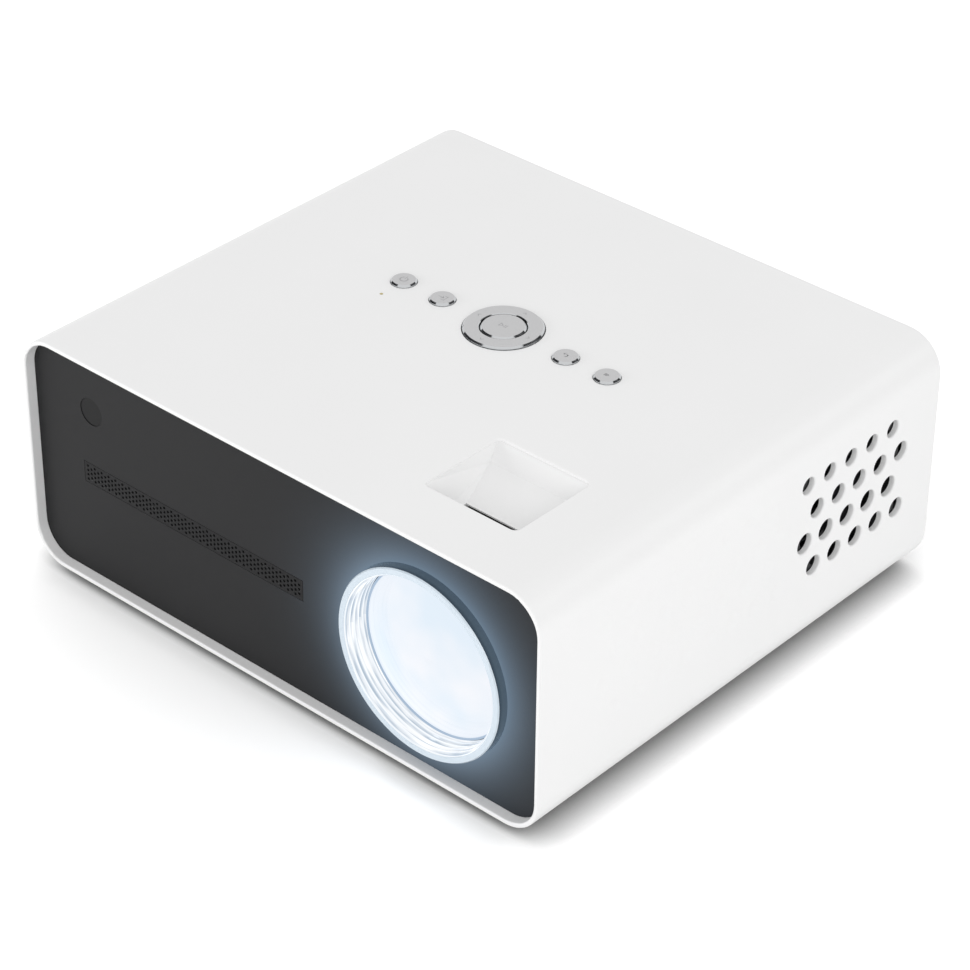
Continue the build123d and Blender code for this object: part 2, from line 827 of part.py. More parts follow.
def make_heat_sink():
    base = block(
        lens_x - sink_half_width, lens_x + sink_half_width, sink_front, sink_front + sink_base,
        lens_z - sink_half_height, lens_z + sink_half_height,
    )
    pitch = (2 * sink_half_height - sink_fin_thick) / (sink_fins - 1)
    fins = []
    for fin in range(sink_fins):
        z = lens_z - sink_half_height + fin * pitch
        fins.append(
            block(
                lens_x - sink_half_width, lens_x + sink_half_width,
                sink_front + sink_base, sink_front + sink_depth, z, z + sink_fin_thick,
            )
        )
    return base + fins


# ================================================================ fan
def fan_screw_places():
    reach = fan_size / 2 - fan_screw_inset
    return [(fan_y + sy * reach, fan_z + sz * reach) for sy in (-1, 1) for sz in (-1, 1)]


def make_fan_frame():
    outline = Pos(fan_y, fan_z) * RectangleRounded(fan_size, fan_size, 4.0)
    frame = slab_x(outline, fan_inner, fan_outer)
    frame -= rod_x(fan_bore, fan_inner - 1, fan_outer + 1, fan_y, fan_z)
    spider = rod_x(fan_hub, fan_inner, fan_inner + 2.0, fan_y, fan_z)
    for arm in range(4):
        bar = block(fan_inner, fan_inner + 2.0, -1.5, 1.5, fan_hub - 2, fan_bore + 1)
        spider += Pos(0, fan_y, fan_z) * Rot(45 + 90 * arm, 0, 0) * bar
    shaft_hole = rod_x(guide_radius + shaft_gap, fan_inner - 1, fan_inner + 3, fan_y, fan_z)
    frame = frame + spider - shaft_hole
    for y, z in fan_screw_places():
        frame -= rod_x(1.6, fan_inner - 1, fan_outer + 1, y, z)
    return frame


def make_fan_rotor():
    """Hub and seven swept blades, with the shaft that turns in the spider."""
    hub_start = fan_inner + 2.0 + loose_gap
    rotor = rod_x(fan_hub, hub_start, fan_outer - 1.0, fan_y, fan_z)
    rotor += rod_x(guide_radius, fan_inner + 0.4, hub_start + 1, fan_y, fan_z)
    length = fan_outer - 2.0 - hub_start
    reach = fan_bore - fan_blade_gap
    for number in range(fan_blades):
        root = Plane.XY.offset(fan_hub - 1.5) * Rot(0, 0, 22) * Rectangle(length * 0.9, 1.3)
        tip = Plane.XY.offset(reach * 0.965) * Rot(0, 0, 48) * Rectangle(length * 0.98, 0.9)
        blade = Rot(360.0 / fan_blades * number, 0, 0) * loft([root, tip])
        rotor += Pos((hub_start + fan_outer - 2.0) / 2, fan_y, fan_z) * blade
    return rotor


# ================================================================ rear
def make_rear_panel():
    panel = slab_y(tube_outline(rim_width + panel_gap), rear_inside, rear_face)
    cuts = [socket_space(hdmi_x, hdmi_width, hdmi_height, seat_gap)]
    for x in usb_xs:
        cuts.append(socket_space(x, usb_width, usb_height, seat_gap))
    for x in jack_xs:
        cuts.append(rod_y(jack_nose + seat_gap, x, rear_inside - 1, rear_face + 1, jack_z))
    inlet = Pos(inlet_x, inlet_z) * RectangleRounded(
        inlet_width + 2 * seat_gap, inlet_height + 2 * seat_gap, 2.0
    )
    cuts.append(slab_y(inlet, rear_inside - 1, rear_face + 1))
    for x, z in rear_screw_places():
        cuts.append(rod_y(screw_radius + screw_gap, x, rear_inside - 1, rear_face + 1, z))
    # upright air slots behind the heat sink
    slot_count = 9
    for number in range(slot_count):
        x = lens_x + (number - (slot_count - 1) / 2) * 6.4
        slot = Pos(x, lens_z) * SlotOverall(46.0, 2.6, rotation=90)
        cuts.append(slab_y(slot, rear_inside - 1, rear_face + 1))
    return panel - cuts


def socket_space(x, width, height, gap):
    """The opening in the rear panel for a socket standing on the main board."""
    return block(
        x - width / 2 - gap, x + width / 2 + gap, rear_inside - 1, rear_face + 1,
        board_top - gap, board_top + height + gap,
    )


def socket_body(x, width, height, wall, tongue):
    """A metal socket on the board's rear edge: open to the rear, with its contact tongue."""
    y1 = rear_face - 0.3
    y0 = y1 - socket_depth
    body = block(x - width / 2, x + width / 2, y0, y1, board_top, board_top + height)
    hollow = block(
        x - width / 2 + wall, x + width / 2 - wall, y0 + 3, y1 + 1,
        board_top + wall, board_top + height - wall,
    )
    z = board_top + height / 2
    blade = block(x - width / 2 + 2.4, x + width / 2 - 2.4, y0 + 2, y1 - 1.5, z - tongue / 2, z + tongue / 2)
    return body - hollow + blade


def make_hdmi_socket():
    return socket_body(hdmi_x, hdmi_width, hdmi_height, 0.5, 1.0)


def make_usb_sockets():
    return group([socket_body(x, usb_width, usb_height, 0.5, 1.9) for x in usb_xs])


def make_audio_jacks():
    jacks = []
    for x in jack_xs:
        y1 = rear_inside - seat_gap
        body = block(x - jack_side / 2, x + jack_side / 2, y1 - jack_length, y1, board_top, jack_z + 3.6)
        nose = rod_y(jack_nose, x, y1 - 1, rear_face - 0.3, jack_z)
        jacks.append(body + nose - rod_y(jack_bore, x, rear_face - 0.3 - jack_length, rear_face, jack_z))
    return group(jacks)


def make_power_inlet():
    """Two-pin mains inlet: flange inside the panel, figure-of-eight socket and two pins."""
    y1 = rear_face - 0.2
    body = Pos(inlet_x, inlet_z) * RectangleRounded(inlet_width, inlet_height, 1.8)
    inlet = slab_y(body, y1 - inlet_depth, y1)
    flange = Pos(inlet_x, inlet_z) * RectangleRounded(inlet_width + 6, inlet_height + 4, 2.0)
    inlet += slab_y(flange, rear_inside - 2.0, rear_inside)
    socket = Pos(inlet_x, inlet_z) * SlotOverall(inlet_socket_width, inlet_socket_height)
    inlet -= slab_y(socket, y1 - inlet_socket_depth, y1 + 1)
    for side in (-1, 1):
        x = inlet_x + side * inlet_pin_spacing / 2
        pin = rod_y(inlet_pin_radius, x, y1 - inlet_socket_depth - 1, y1 - 4.0, inlet_z)
        inlet += pin
    return inlet


# ================================================================ chassis and boards
def board_holes(y0, y1):
    xs = (main_board_x0 + board_hole_inset, main_board_x1 - board_hole_inset)
    ys = (y0 + board_hole_inset, y1 - board_hole_inset)
    return [(x, y) for x in xs for y in ys]


def main_board_rear():
    return rear_inside - 1.0


def main_board_holes():
    """The rear pair stands further in, clear of the sockets."""
    front = main_board_y0 + board_hole_inset
    rear = main_board_rear() - socket_depth - 6.0
    xs = (main_board_x0 + board_hole_inset, main_board_x1 - board_hole_inset)
    return [(x, y) for x in xs for y in (front, rear)]


def drive_posts():
    xs = (drive_front + drive_post_inset_x, drive_rear - drive_post_inset_x)
    ys = (drive_y - drive_width / 2 + drive_post_inset_y, drive_y + drive_width / 2 - drive_post_inset_y)
    return [(x, y) for x in xs for y in ys]


def make_chassis_plate():
    plate = block(-chassis_x, chassis_x, chassis_front, chassis_rear, floor_top, chassis_top)
    posts = []
    holes = []
    for x, y in main_board_holes() + board_holes(power_board_y0, power_board_y1):
        posts.append(rod_z(boss_radius, x, y, chassis_top - 0.5, board_bottom))
        holes.append(rod_z(screw_radius + screw_gap, x, y, floor_top, board_bottom))
    for x, y in drive_posts():
        posts.append(rod_z(drive_post_radius, x, y, chassis_top - 0.5, drive_bottom))
        holes.append(rod_z(screw_radius + screw_gap, x, y, drive_bottom - 8, drive_bottom))
    for x in case_screw_xs:
        for y in case_screw_ys:
            posts.append(rod_z(boss_radius, x, y, chassis_top - 0.5, chassis_top + case_boss_height()))
            holes.append(rod_z(screw_radius + screw_gap, x, y, floor_top, chassis_top + case_boss_height()))
    for x, y in base_screw_places():
        posts.append(rod_z(boss_radius, x, y, chassis_top - 0.5, chassis_top + case_boss_height()))
        holes.append(rod_z(screw_radius + screw_gap, x, y, floor_top, chassis_top + case_boss_height()))
    # windows over the base cover's air slots and its tripod collar, and a collar for the levelling stud
    for y in (-base_slot_y, base_slot_y):
        holes.append(base_slot_window(y))
    room = tripod_radius + tripod_collar + loose_gap
    holes.append(block(-room, room, tripod_y - room, tripod_y + room, floor_top - 1, chassis_top + 1))
    posts.append(rod_z(level_stud + 3, level_x, level_y, chassis_top - 0.5, chassis_top + 6))
    holes.append(rod_z(level_stud + shaft_gap, level_x, level_y, floor_top, chassis_top + 6))
    # a rib behind the speakers, a rest under the heat sink and a shelf under the fan
    wall_y = speaker_back() + seat_gap
    x0 = speaker_xs[0] - speaker_width / 2
    x1 = speaker_xs[-1] + speaker_width / 2
    posts.append(block(x0, x1, wall_y, wall_y + 2, chassis_top - 0.5, grille_z + speaker_height / 2))
    for x in (lens_x - sink_half_width + 8, lens_x + sink_half_width - 8):
        y0, y1 = sink_front + 6, sink_front + sink_depth - 4
        posts.append(block(x - 4, x + 4, y0, y1, chassis_top - 0.5, lens_z - sink_half_height))
    # the focus ring dips into a window of the plate
    holes.append(
        block(lens_x - 26, lens_x + 26, ring_front - 3, ring_rear + 3, floor_top - 1, chassis_top + 1)
    )
    shelf_top = fan_z - fan_size / 2
    posts.append(block(chassis_x - 6, chassis_x, fan_y - 24, fan_y + 24, chassis_top - 0.5, shelf_top))
    return plate + posts - holes


def case_boss_height():
    """Low enough to stay under the light box on the lens side."""
    return lens_z - engine_half_height - chassis_top - 0.6


def board(x0, x1, y0, y1, holes):
    sheet = block(x0, x1, y0, y1, board_bottom, board_top)
    return sheet - [rod_z(screw_radius + screw_gap, x, y, board_bottom - 1, board_top + 1) for x, y in holes]


def make_main_board():
    return board(main_board_x0, main_board_x1, main_board_y0, main_board_rear(), main_board_holes())


def make_power_board():
    holes = board_holes(power_board_y0, power_board_y1)
    return board(main_board_x0, main_board_x1, power_board_y0, power_board_y1, holes)


def make_board_chips():
    """Packages on the two boards: (x, y, width, depth, height)."""
    y = main_board_y0
    chips = [
        (-62, y + 22, 18, 18, 1.6), (-36, y + 18, 12, 10, 1.4), (-36, y + 34, 12, 10, 1.4),
        (-86, y + 20, 10, 10, 1.2), (-84, y + 38, 7, 5, 1.5), (-20, y + 12, 6, 5, 1.6),
    ]
    y = power_board_y0
    chips += [(-92, y + 64, 10, 6, 4.0), (-30, y + 20, 14, 5, 16.0), (-30, y + 58, 14, 5, 16.0)]
    solids = []
    for x, cy, width, depth, height in chips:
        solids.append(
            block(x - width / 2, x + width / 2, cy - depth / 2, cy + depth / 2, board_top, board_top + height)
        )
    return group(solids)


def make_capacitors():
    """Round capacitors: (x, y, radius, height), each with its rolled top edge."""
    y = power_board_y0
    cans = [(-88, y + 18, 8.0, 26.0), (-88, y + 40, 8.0, 26.0)]
    cans += [(-18.5, y + 34, 5.0, 16.0), (-18.5, y + 46, 5.0, 16.0)]
    y = main_board_y0
    cans += [(-96, y + 20, 3.2, 8.0), (-74, y + 8, 3.2, 8.0)]
    cans += [(-50, y + 8, 3.2, 8.0), (-20, y + 26, 3.2, 8.0)]
    solids = []
    for x, cy, radius, height in cans:
        can = rod_z(radius, x, cy, board_top, board_top + height)
        top = can.edges().filter_by(GeomType.CIRCLE).sort_by(Axis.Z)[-1]
        solids.append(fillet(top, radius / 6))
    return group(solids)


def make_transformer():
    """Ferrite core with its wound bobbin, upright on the power board."""
    x = -58.0
    y = power_board_y0 + 42.0
    core = block(x - 15, x + 15, y - 7, y + 7, board_top, board_top + 27)
    coil = rod_z(11.5, x, y, board_top + 5, board_top + 22)
    return core + coil


def make_key_board():
    x0 = key_xs[0] - 8.0
    x1 = key_xs[-1] + 8.0
    sheet = block(x0, x1, light_y - 4, key_row_y + 17.2, key_board_top - board_thick, key_board_top)
    holes = [
        rod_z(screw_radius + screw_gap, x, y, key_board_top - board_thick - 1, key_board_top + 1)
        for x, y in key_boss_places
    ]
    return sheet - holes


def switch_centres():
    places = key_centres() + [(nav_x, key_row_y)]
    for quarter in range(4):
        angle = radians(90 * quarter)
        places.append((nav_x + nav_switch_radius * cos(angle), key_row_y + nav_switch_radius * sin(angle)))
    return places


def make_key_switches():
    switches = []
    half = switch_side / 2
    for x, y in switch_centres():
        body = block(x - half, x + half, y - half, y + half, key_board_top, key_board_top + switch_body)
        stem_top = key_board_top + switch_body + switch_plunger
        switches.append(body + rod_z(1.7, x, y, key_board_top + switch_body, stem_top))
    return group(switches)


def make_speakers():
    speakers = []
    for x in speaker_xs:
        y0 = speaker_front()
        outline = Pos(x, grille_z) * RectangleRounded(speaker_width, speaker_height, 5.0)
        basket = slab_y(outline, y0, y0 + speaker_basket)
        cone_room = Pos(x, grille_z) * RectangleRounded(speaker_width - 6, speaker_height - 6, 4.0)
        basket -= slab_y(cone_room, y0 - 1, y0 + 2.0)
        magnet = rod_y(speaker_magnet_radius, x, y0 + speaker_basket, speaker_back(), grille_z)
        cap_room = block(x - 7, x + 7, y0 + 0.6, y0 + 3, grille_z - 7, grille_z + 7)
        dome = Pos(x, y0 + 2.0, grille_z) * Sphere(6.0) & cap_room
        speakers.append(basket + magnet + dome)
    return group(speakers)


def speaker_front():
    return front_inside + grille_flange_thick + seat_gap


def speaker_back():
    return speaker_front() + speaker_basket + speaker_magnet


# ================================================================ keys
def make_key(x, y):
    """A round key: chamfered cap, flange that stops under the shell, and stem."""
    top = shell_top + key_proud
    flange_top = ceiling - seat_gap
    flange_low = flange_top - 1.2
    stem_low = key_board_top + switch_body + switch_plunger + key_travel + 0.1
    return turned_z(
        [
            (0, top), (key_radius - key_chamfer, top), (key_radius, top - key_chamfer),
            (key_radius, flange_top), (key_radius + key_flange, flange_top),
            (key_radius + key_flange, flange_low), (2.0, flange_low), (2.0, stem_low), (0, stem_low),
        ],
        x, y,
    )


def nav_swing(radius):
    """How far a point at this radius moves when the ring is pressed at a corner, with a little spare."""
    return radius * sin(radians(nav_tilt * sqrt(2))) + 0.1


def make_nav_ring():
    top = shell_top + key_proud
    flange_radius = nav_radius + key_flange
    flange_top = ceiling - nav_swing(flange_radius)
    flange_low = key_board_top + switch_body + switch_plunger + nav_swing(nav_switch_radius + 2)
    return turned_z(
        [
            (nav_bore + key_chamfer / 2, top), (nav_radius - key_chamfer, top),
            (nav_radius, top - key_chamfer), (nav_radius, flange_top), (flange_radius, flange_top),
            (flange_radius, flange_low), (nav_bore + 0.3, flange_low), (nav_bore, flange_low + 0.4),
            (nav_bore, top - key_chamfer / 2),
        ],
        nav_x, key_row_y,
    )


def make_nav_pivot_ring():
    """Thin carrier ring under the four-way key; its two feet stand on the key board."""
    top = key_board_top + switch_body + switch_plunger + nav_swing(nav_switch_radius + 2) - 0.3
    low = top - 0.9
    inner = ok_radius - 4.6
    ring = turned_z([(inner, low), (inner + 1.4, low), (inner + 1.4, top), (inner, top)], nav_x, key_row_y)
    spokes = []
    for side in (-1, 1):
        x = nav_x + side * (inner + 0.7)
        y0, y1 = key_row_y - 0.8, key_row_y + 0.8
        spokes.append(block(x - 0.6, x + 0.6, y0, y1, key_board_top + 0.3, low + 0.2))
    arms = []
    for side in (-1, 1):
        y0, y1 = sorted([key_row_y + side * (inner + 1.0), key_row_y + side * (nav_bore + 1.6)])
        arms.append(block(nav_x - 0.8, nav_x + 0.8, y0, y1, low, top))
    return ring + spokes + arms


def make_ok_button():
    top = shell_top + ok_proud
    cap_low = ceiling - 0.9
    stem_low = key_board_top + switch_body + switch_plunger + key_travel + 0.1
    return turned_z(
        [
            (0, top), (ok_radius - key_chamfer, top), (ok_radius, top - key_chamfer),
            (ok_radius, cap_low), (2.0, cap_low), (2.0, stem_low), (0, stem_low),
        ],
        nav_x, key_row_y,
    )


def make_status_light():
    """Light guide from the key board up through the pinhole beside the first key."""
    guide = rod_z(light_radius - shaft_gap, key_xs[0], light_y, key_board_top + 1.0, shell_top)
    return guide + rod_z(1.5, key_xs[0], light_y, key_board_top, key_board_top + 2.0)


# ================================================================ disc drive
def drive_side(inset):
    half = drive_width / 2 - inset
    return drive_y - half, drive_y + half


def make_drive_chassis():
    """Folded sheet tray of the drive: floor, two sides and a rear wall, open to the left."""
    y0, y1 = drive_side(0)
    wall_top = drive_top - drive_sheet
    chassis = block(drive_front, drive_rear, y0, y1, drive_bottom, wall_top)
    i0, i1 = drive_side(drive_sheet)
    floor = drive_bottom + drive_sheet
    chassis -= block(drive_front - 1, drive_rear - drive_sheet, i0, i1, floor, wall_top + 1)
    for x, y in drive_posts():
        chassis -= rod_z(screw_radius + screw_gap, x, y, drive_bottom - 1, drive_bottom + 1)
    return chassis


def make_drive_lid():
    y0, y1 = drive_side(0)
    lid = block(drive_front, drive_rear, y0, y1, drive_top - drive_sheet, drive_top)
    pressing = rod_z(17.0, disc_x, drive_y, drive_top - 0.3, drive_top + 1)
    return lid - pressing


def make_drive_board():
    """Thin board on the drive's floor under the tray, and its plug behind the rear wall."""
    floor = drive_bottom + drive_sheet
    y0 = drive_y + 34.0
    y1 = drive_side(drive_sheet)[1] - 1.0
    sheet = block(drive_rear - 34, drive_rear - drive_sheet - 0.2, y0, y1, floor, floor + 0.6)
    plug = block(drive_rear, drive_rear + 4, y0, y1 - 8, drive_bottom + 1, drive_bottom + 7)
    return group([sheet, plug])


def make_disc_tray():
    """Tray plate with its round well, the opening for the laser sled and the motor seat."""
    low = drive_bottom + tray_under
    deck = drive_bottom + tray_deck
    well = deck - tray_well_depth
    tray = block(tray_front, tray_rear, drive_y - tray_half, drive_y + tray_half, low, deck)
    tray -= rod_z(disc_radius + disc_well_gap, disc_x, drive_y, well, deck + 1)
    x0, x1, y0, y1 = sled_opening()
    tray -= block(x0, x1, y0, y1, low - 1, deck + 1)
    tray -= rod_z(spindle_radius + seat_gap, disc_x, drive_y, low - 1, deck + 1)
    # the underside is relieved, which leaves a floor and a rib all round
    under = block(
        tray_front + 3, x0 - 3, drive_y - tray_half + 3, drive_y + tray_half - 3, low - 1, well - 1.6
    )
    under -= rod_z(spindle_radius + 2.5, disc_x, drive_y, low - 1, deck)
    return tray - under


def sled_opening():
    x0 = disc_x + spindle_radius + 2.6
    x1 = x0 + pickup_length + pickup_travel + 1.4
    return x0, x1, drive_y - 20.0, drive_y + lead_screw_offset + 5.0


def make_tray_bezel():
    y0, y1 = drive_side(0)
    bezel = block(-side_x, tray_front, y0, y1, drive_bottom, drive_top)
    edges = bezel.edges().filter_by_position(Axis.X, -side_x - 0.01, -side_x + 0.01)
    bezel = fillet(edges, 0.5)
    ey, ez = eject_place()
    outline = Pos(ey, ez) * RectangleRounded(eject_width + 2 * seat_gap, eject_height + 2 * seat_gap, 1.4)
    bezel -= slab_x(outline, -side_x - 1, tray_front + 1)
    pinhole = rod_x(0.6, -side_x - 1, tray_front + 1, ey - 12, ez)
    return bezel - pinhole


def eject_place():
    return drive_y - drive_width / 2 + 16.0, drive_bottom + drive_height * 0.42


def make_eject_button():
    ey, ez = eject_place()
    outline = Pos(ey, ez) * RectangleRounded(eject_width, eject_height, 1.2)
    cap = slab_x(outline, -side_x, tray_front - eject_travel - seat_gap)
    edges = cap.edges().filter_by_position(Axis.X, -side_x - 0.01, -side_x + 0.01)
    return fillet(edges, 0.4)


def make_slide_rails():
    rails = []
    low = drive_bottom + 3.0
    for side in (-1, 1):
        near = drive_y + side * (tray_half + seat_gap)
        y0, y1 = sorted([near, near + side * rail_width])
        rails.append(block(drive_front + 2, tray_rear - 4, y0, y1, low, low + rail_height))
    return group(rails)


def make_drive_motors():
    """Spindle motor in the tray's middle, and the small stepping motor of the sled."""
    low = drive_bottom + tray_under
    top = drive_bottom + tray_deck - tray_well_depth
    spindle = rod_z(spindle_radius, disc_x, drive_y, low, top)
    spindle -= rod_z(guide_radius + shaft_gap, disc_x, drive_y, low + 0.6, top + 1)
    x1 = sled_opening()[1]
    z = sled_axis_z()
    stepper = rod_x(sled_motor_radius, x1 - sled_motor_length, x1, drive_y + lead_screw_offset, z)
    stepper &= block(x1 - 20, x1 + 1, -200, 200, low, top + 1.5)
    end_x0 = x1 - sled_motor_length - 1
    end_radius = lead_screw_radius / 2 + shaft_gap
    screw_end = rod_x(end_radius, end_x0, x1 - 4, drive_y + lead_screw_offset, z)
    return group([spindle, stepper - screw_end])


def sled_axis_z():
    return drive_bottom + tray_under + 2.2


def make_turntable():
    """Disc seat with its centring spigot and three grip balls, on the spindle shaft."""
    seat = drive_bottom + tray_deck - tray_well_depth + 1.6
    low = drive_bottom + tray_deck - tray_well_depth + loose_gap
    table = turned_z(
        [
            (0, low), (turntable_radius, low), (turntable_radius, seat), (spigot_radius, seat),
            (spigot_radius, seat + 1.4), (spigot_radius - 0.8, seat + 2.2), (0, seat + 2.2),
        ],
        disc_x, drive_y,
    )
    table += rod_z(guide_radius, disc_x, drive_y, drive_bottom + tray_under + 0.8, low + 0.5)
    for number in range(3):
        angle = radians(120 * number)
        x = disc_x + (spigot_radius - 0.5) * cos(angle)
        y = drive_y + (spigot_radius - 0.5) * sin(angle)
        table += Pos(x, y, seat + 0.9) * Sphere(0.9)
    return table


def make_guide_rods():
    x0, x1, _, _ = sled_opening()
    z = sled_axis_z()
    return group([rod_x(guide_radius, x0, x1, drive_y + side * guide_offset, z) for side in (-1, 1)])


def pickup_start():
    return sled_opening()[0] + 0.6


def make_laser_pickup():
    """Sled body on its two rods, with the objective lens on top and the nut arm at its side."""
    x0 = pickup_start()
    x1 = x0 + pickup_length
    z = sled_axis_z()
    low = drive_bottom + tray_under + 0.3
    top = drive_bottom + tray_deck - tray_well_depth
    body = block(x0, x1, drive_y - pickup_width / 2, drive_y + pickup_width / 2, low, top)
    arm_y = drive_y + lead_screw_offset
    body += block(x0, x0 + 4, drive_y + pickup_width / 2 - 1, arm_y + 2.2, low, top)
    for side in (-1, 1):
        body -= rod_x(guide_radius + shaft_gap, x0 - 1, x1 + 1, drive_y + side * guide_offset, z)
    body -= rod_x(lead_screw_radius + shaft_gap, x0 - 1, x0 + 5, arm_y, z)
    holder = rod_z(5.0, x0 + 9, drive_y, top - 1, top + 0.5)
    eye = Pos(x0 + 9, drive_y, top - 2.0) * Sphere(3.4) & rod_z(2.6, x0 + 9, drive_y, top, top + 2)
    return body + holder + eye


def make_lead_screw():
    """Screw of the sled: a core with its thread shown as a few shallow grooves."""
    x0, x1, _, _ = sled_opening()
    y = drive_y + lead_screw_offset
    z = sled_axis_z()
    end = x1 - sled_motor_length - seat_gap
    screw = rod_x(lead_screw_radius, x0 + 0.1, end, y, z)
    return screw + rod_x(lead_screw_radius / 2, end - 1, x1 - 4.5, y, z)


# ================================================================ underside pieces
def base_outline(grow):
    return RectangleRounded(2 * (base_half_x + grow), 2 * (base_half_y + grow), base_corner + grow)


def base_screw_places():
    return [(sx * base_screw_x, sy * base_screw_y) for sx in (-1, 1) for sy in (-1, 1)]


def base_slot_window(y):
    half_x = (base_slot_count - 1) / 2 * base_slot_pitch + base_slot_margin
    half_y = base_slot_length / 2 + base_slot_margin
    return block(
        base_slot_x - half_x, base_slot_x + half_x, y - half_y, y + half_y, floor_top - 1, chassis_top + 1
    )


def make_base_cover():
    """Flat cover in the underside, with the tripod collar and two fields of air slots."""
    top = shell_bottom + tripod_length
    cover = slab_z(base_outline(0), shell_bottom, floor_top)
    cover += rod_z(tripod_radius + tripod_collar, 0, tripod_y, floor_top - 0.5, top)
    holes = [rod_z(tripod_radius + screw_gap, 0, tripod_y, shell_bottom - 1, top + 1)]
    for x, y in base_screw_places():
        holes.append(rod_z(screw_radius + screw_gap, x, y, shell_bottom, floor_top + 1))
        holes.append(rod_z(screw_head + seat_gap, x, y, shell_bottom - 1, shell_bottom + screw_head_thick))
    for y in (-base_slot_y, base_slot_y):
        for number in range(base_slot_count):
            x = base_slot_x + (number - (base_slot_count - 1) / 2) * base_slot_pitch
            slot = Pos(x, y) * SlotOverall(base_slot_length, base_slot_width, rotation=90)
            holes.append(slab_z(slot, shell_bottom - 1, floor_top + 1))
    return cover - holes


def make_rubber_feet():
    feet = []
    for x in foot_xs:
        for y in foot_ys:
            foot = rod_z(foot_radius, x, y, 0, shell_bottom + foot_sink)
            low = foot.edges().filter_by(GeomType.CIRCLE).sort_by(Axis.Z)[0]
            feet.append(fillet(low, 0.8))
    return group(feet)


def make_tripod_insert():
    top = shell_bottom + tripod_length
    insert = rod_z(tripod_radius, 0, tripod_y, shell_bottom, top)
    return insert - rod_z(tripod_bore, 0, tripod_y, shell_bottom - 1, top + 1)


def level_wheel_low():
    return level_off_floor + level_pad_thick


def make_foot_pad():
    return rod_z(level_radius - 2.0, level_x, level_y, level_off_floor, level_wheel_low())


def make_foot_screw():
    """Knurled wheel and threaded stud of the levelling foot."""
    low = level_wheel_low()
    wheel = rod_z(level_radius, level_x, level_y, low, shell_bottom + level_recess - seat_gap)
    cuts = []
    for number in range(24):
        angle = radians(360 / 24 * number)
        x = level_x + level_radius * cos(angle)
        y = level_y + level_radius * sin(angle)
        cuts.append(rod_z(0.6, x, y, low - 1, shell_bottom + 3))
    wheel -= cuts
    return wheel + rod_z(level_stud, level_x, level_y, low + 1, low + level_travel + level_stud_grip)


def make_case_screws():
    screws = []
    for x in case_screw_xs:
        for y in case_screw_ys:
            screws.append(screw_z(x, y, shell_bottom + screw_head_thick, case_screw_length(), True))
    for x, y in base_screw_places():
        screws.append(screw_z(x, y, shell_bottom + screw_head_thick, case_screw_length(), True))
    for x, z in rear_screw_places():
        screws.append(screw_y(x, z, rear_face, panel_thick + 5.0, True))
    return group(screws)


def case_screw_length():
    return chassis_top + case_boss_height() - shell_bottom - screw_head_thick - 0.5


def make_inner_screws():
    """Screws of the boards, the key board, the drive and the lens plate."""
    screws = []
    for x, y in main_board_holes() + board_holes(power_board_y0, power_board_y1):
        screws.append(screw_z(x, y, board_top, board_thick + boss_height - 1, False))
    for x, y in key_boss_places:
        screws.append(screw_z(x, y, key_board_top - board_thick, board_thick + 4.0, True))
    for x, z in lens_plate_screws():
        screws.append(screw_y(x, z, engine_front - lens_plate_thick, lens_plate_thick + 5.0, False))
    return group(screws)


# ================================================================ write every piece
save("outer_shell", make_outer_shell())
save("front_panel", make_front_panel())
save("front_grille", make_front_grille())
save("ir_window", make_ir_window())
save("ir_sensor", make_ir_sensor())
save("lens_trim_ring", make_lens_trim_ring())
save("rear_panel", make_rear_panel())
save("chassis_plate", make_chassis_plate())
save("base_cover", make_base_cover())
save("rubber_feet", make_rubber_feet())
save("tripod_insert", make_tripod_insert())
save("case_screws", make_case_screws())
save("inner_screws", make_inner_screws())
save("key_board", make_key_board())
save("key_switches", make_key_switches())
save("status_light", make_status_light())
save("engine_case", make_engine_case())
save("lens_mount", make_lens_mount())
save("led_lamp", make_led_lamp())
save("heat_sink", make_heat_sink())
save("condenser_lens", make_condenser_lens())
save("fresnel_lenses", make_fresnel_lenses())
save("lcd_panel", make_lcd_panel())
save("fan_frame", make_fan_frame())
save("fan_rotor", make_fan_rotor())
save("main_board", make_main_board())
save("power_board", make_power_board())
save("board_chips", make_board_chips())
save("capacitors", make_capacitors())
save("transformer", make_transformer())
save("hdmi_socket", make_hdmi_socket())
save("usb_sockets", make_usb_sockets())
save("audio_jacks", make_audio_jacks())
save("power_inlet", make_power_inlet())
save("speakers", make_speakers())
save("drive_chassis", make_drive_chassis())
save("drive_lid", make_drive_lid())
save("drive_board", make_drive_board())
save("disc_tray", make_disc_tray())
save("tray_bezel", make_tray_bezel())
save("eject_button", make_eject_button())
save("slide_rails", make_slide_rails())
save("drive_motors", make_drive_motors())
save("turntable", make_turntable())
save("guide_rods", make_guide_rods())
save("laser_pickup", make_laser_pickup())
save("lead_screw", make_lead_screw())
for key_name, key_x in zip(("power_button", "source_button", "back_button", "menu_button"), key_xs):
    save(key_name, make_key(key_x, key_row_y))
save("nav_ring", make_nav_ring())
save("nav_pivot_ring", make_nav_pivot_ring())
save("ok_button", make_ok_button())
save("focus_ring", make_focus_ring())
save("lens_barrel", make_lens_barrel())
save("front_lens", make_front_lens())
save("rear_lenses", make_rear_lenses())
save("foot_pad", make_foot_pad())
save("foot_screw", make_foot_screw())
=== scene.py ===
# %% [markdown]
# # A home projector with a built-in disc player
# The real object is a white moulded box with a dark front, a round lit lens and satin keys on its
# top. Its disc tray, which the photograph doesn't show, slides out of the left side. The packed
# model holds every piece at its real size and place. This lesson dresses those pieces: it gives
# each one the surface that its real material has, prints the small marks on the keys, and sets up
# the light and the camera.
# We start by loading the frame, with a small function that reads the box of any of its pieces.

# %% Load the frame
from math import cos, e, pi, radians, sin

import bmesh
import bpy
from mathutils import Matrix, Vector


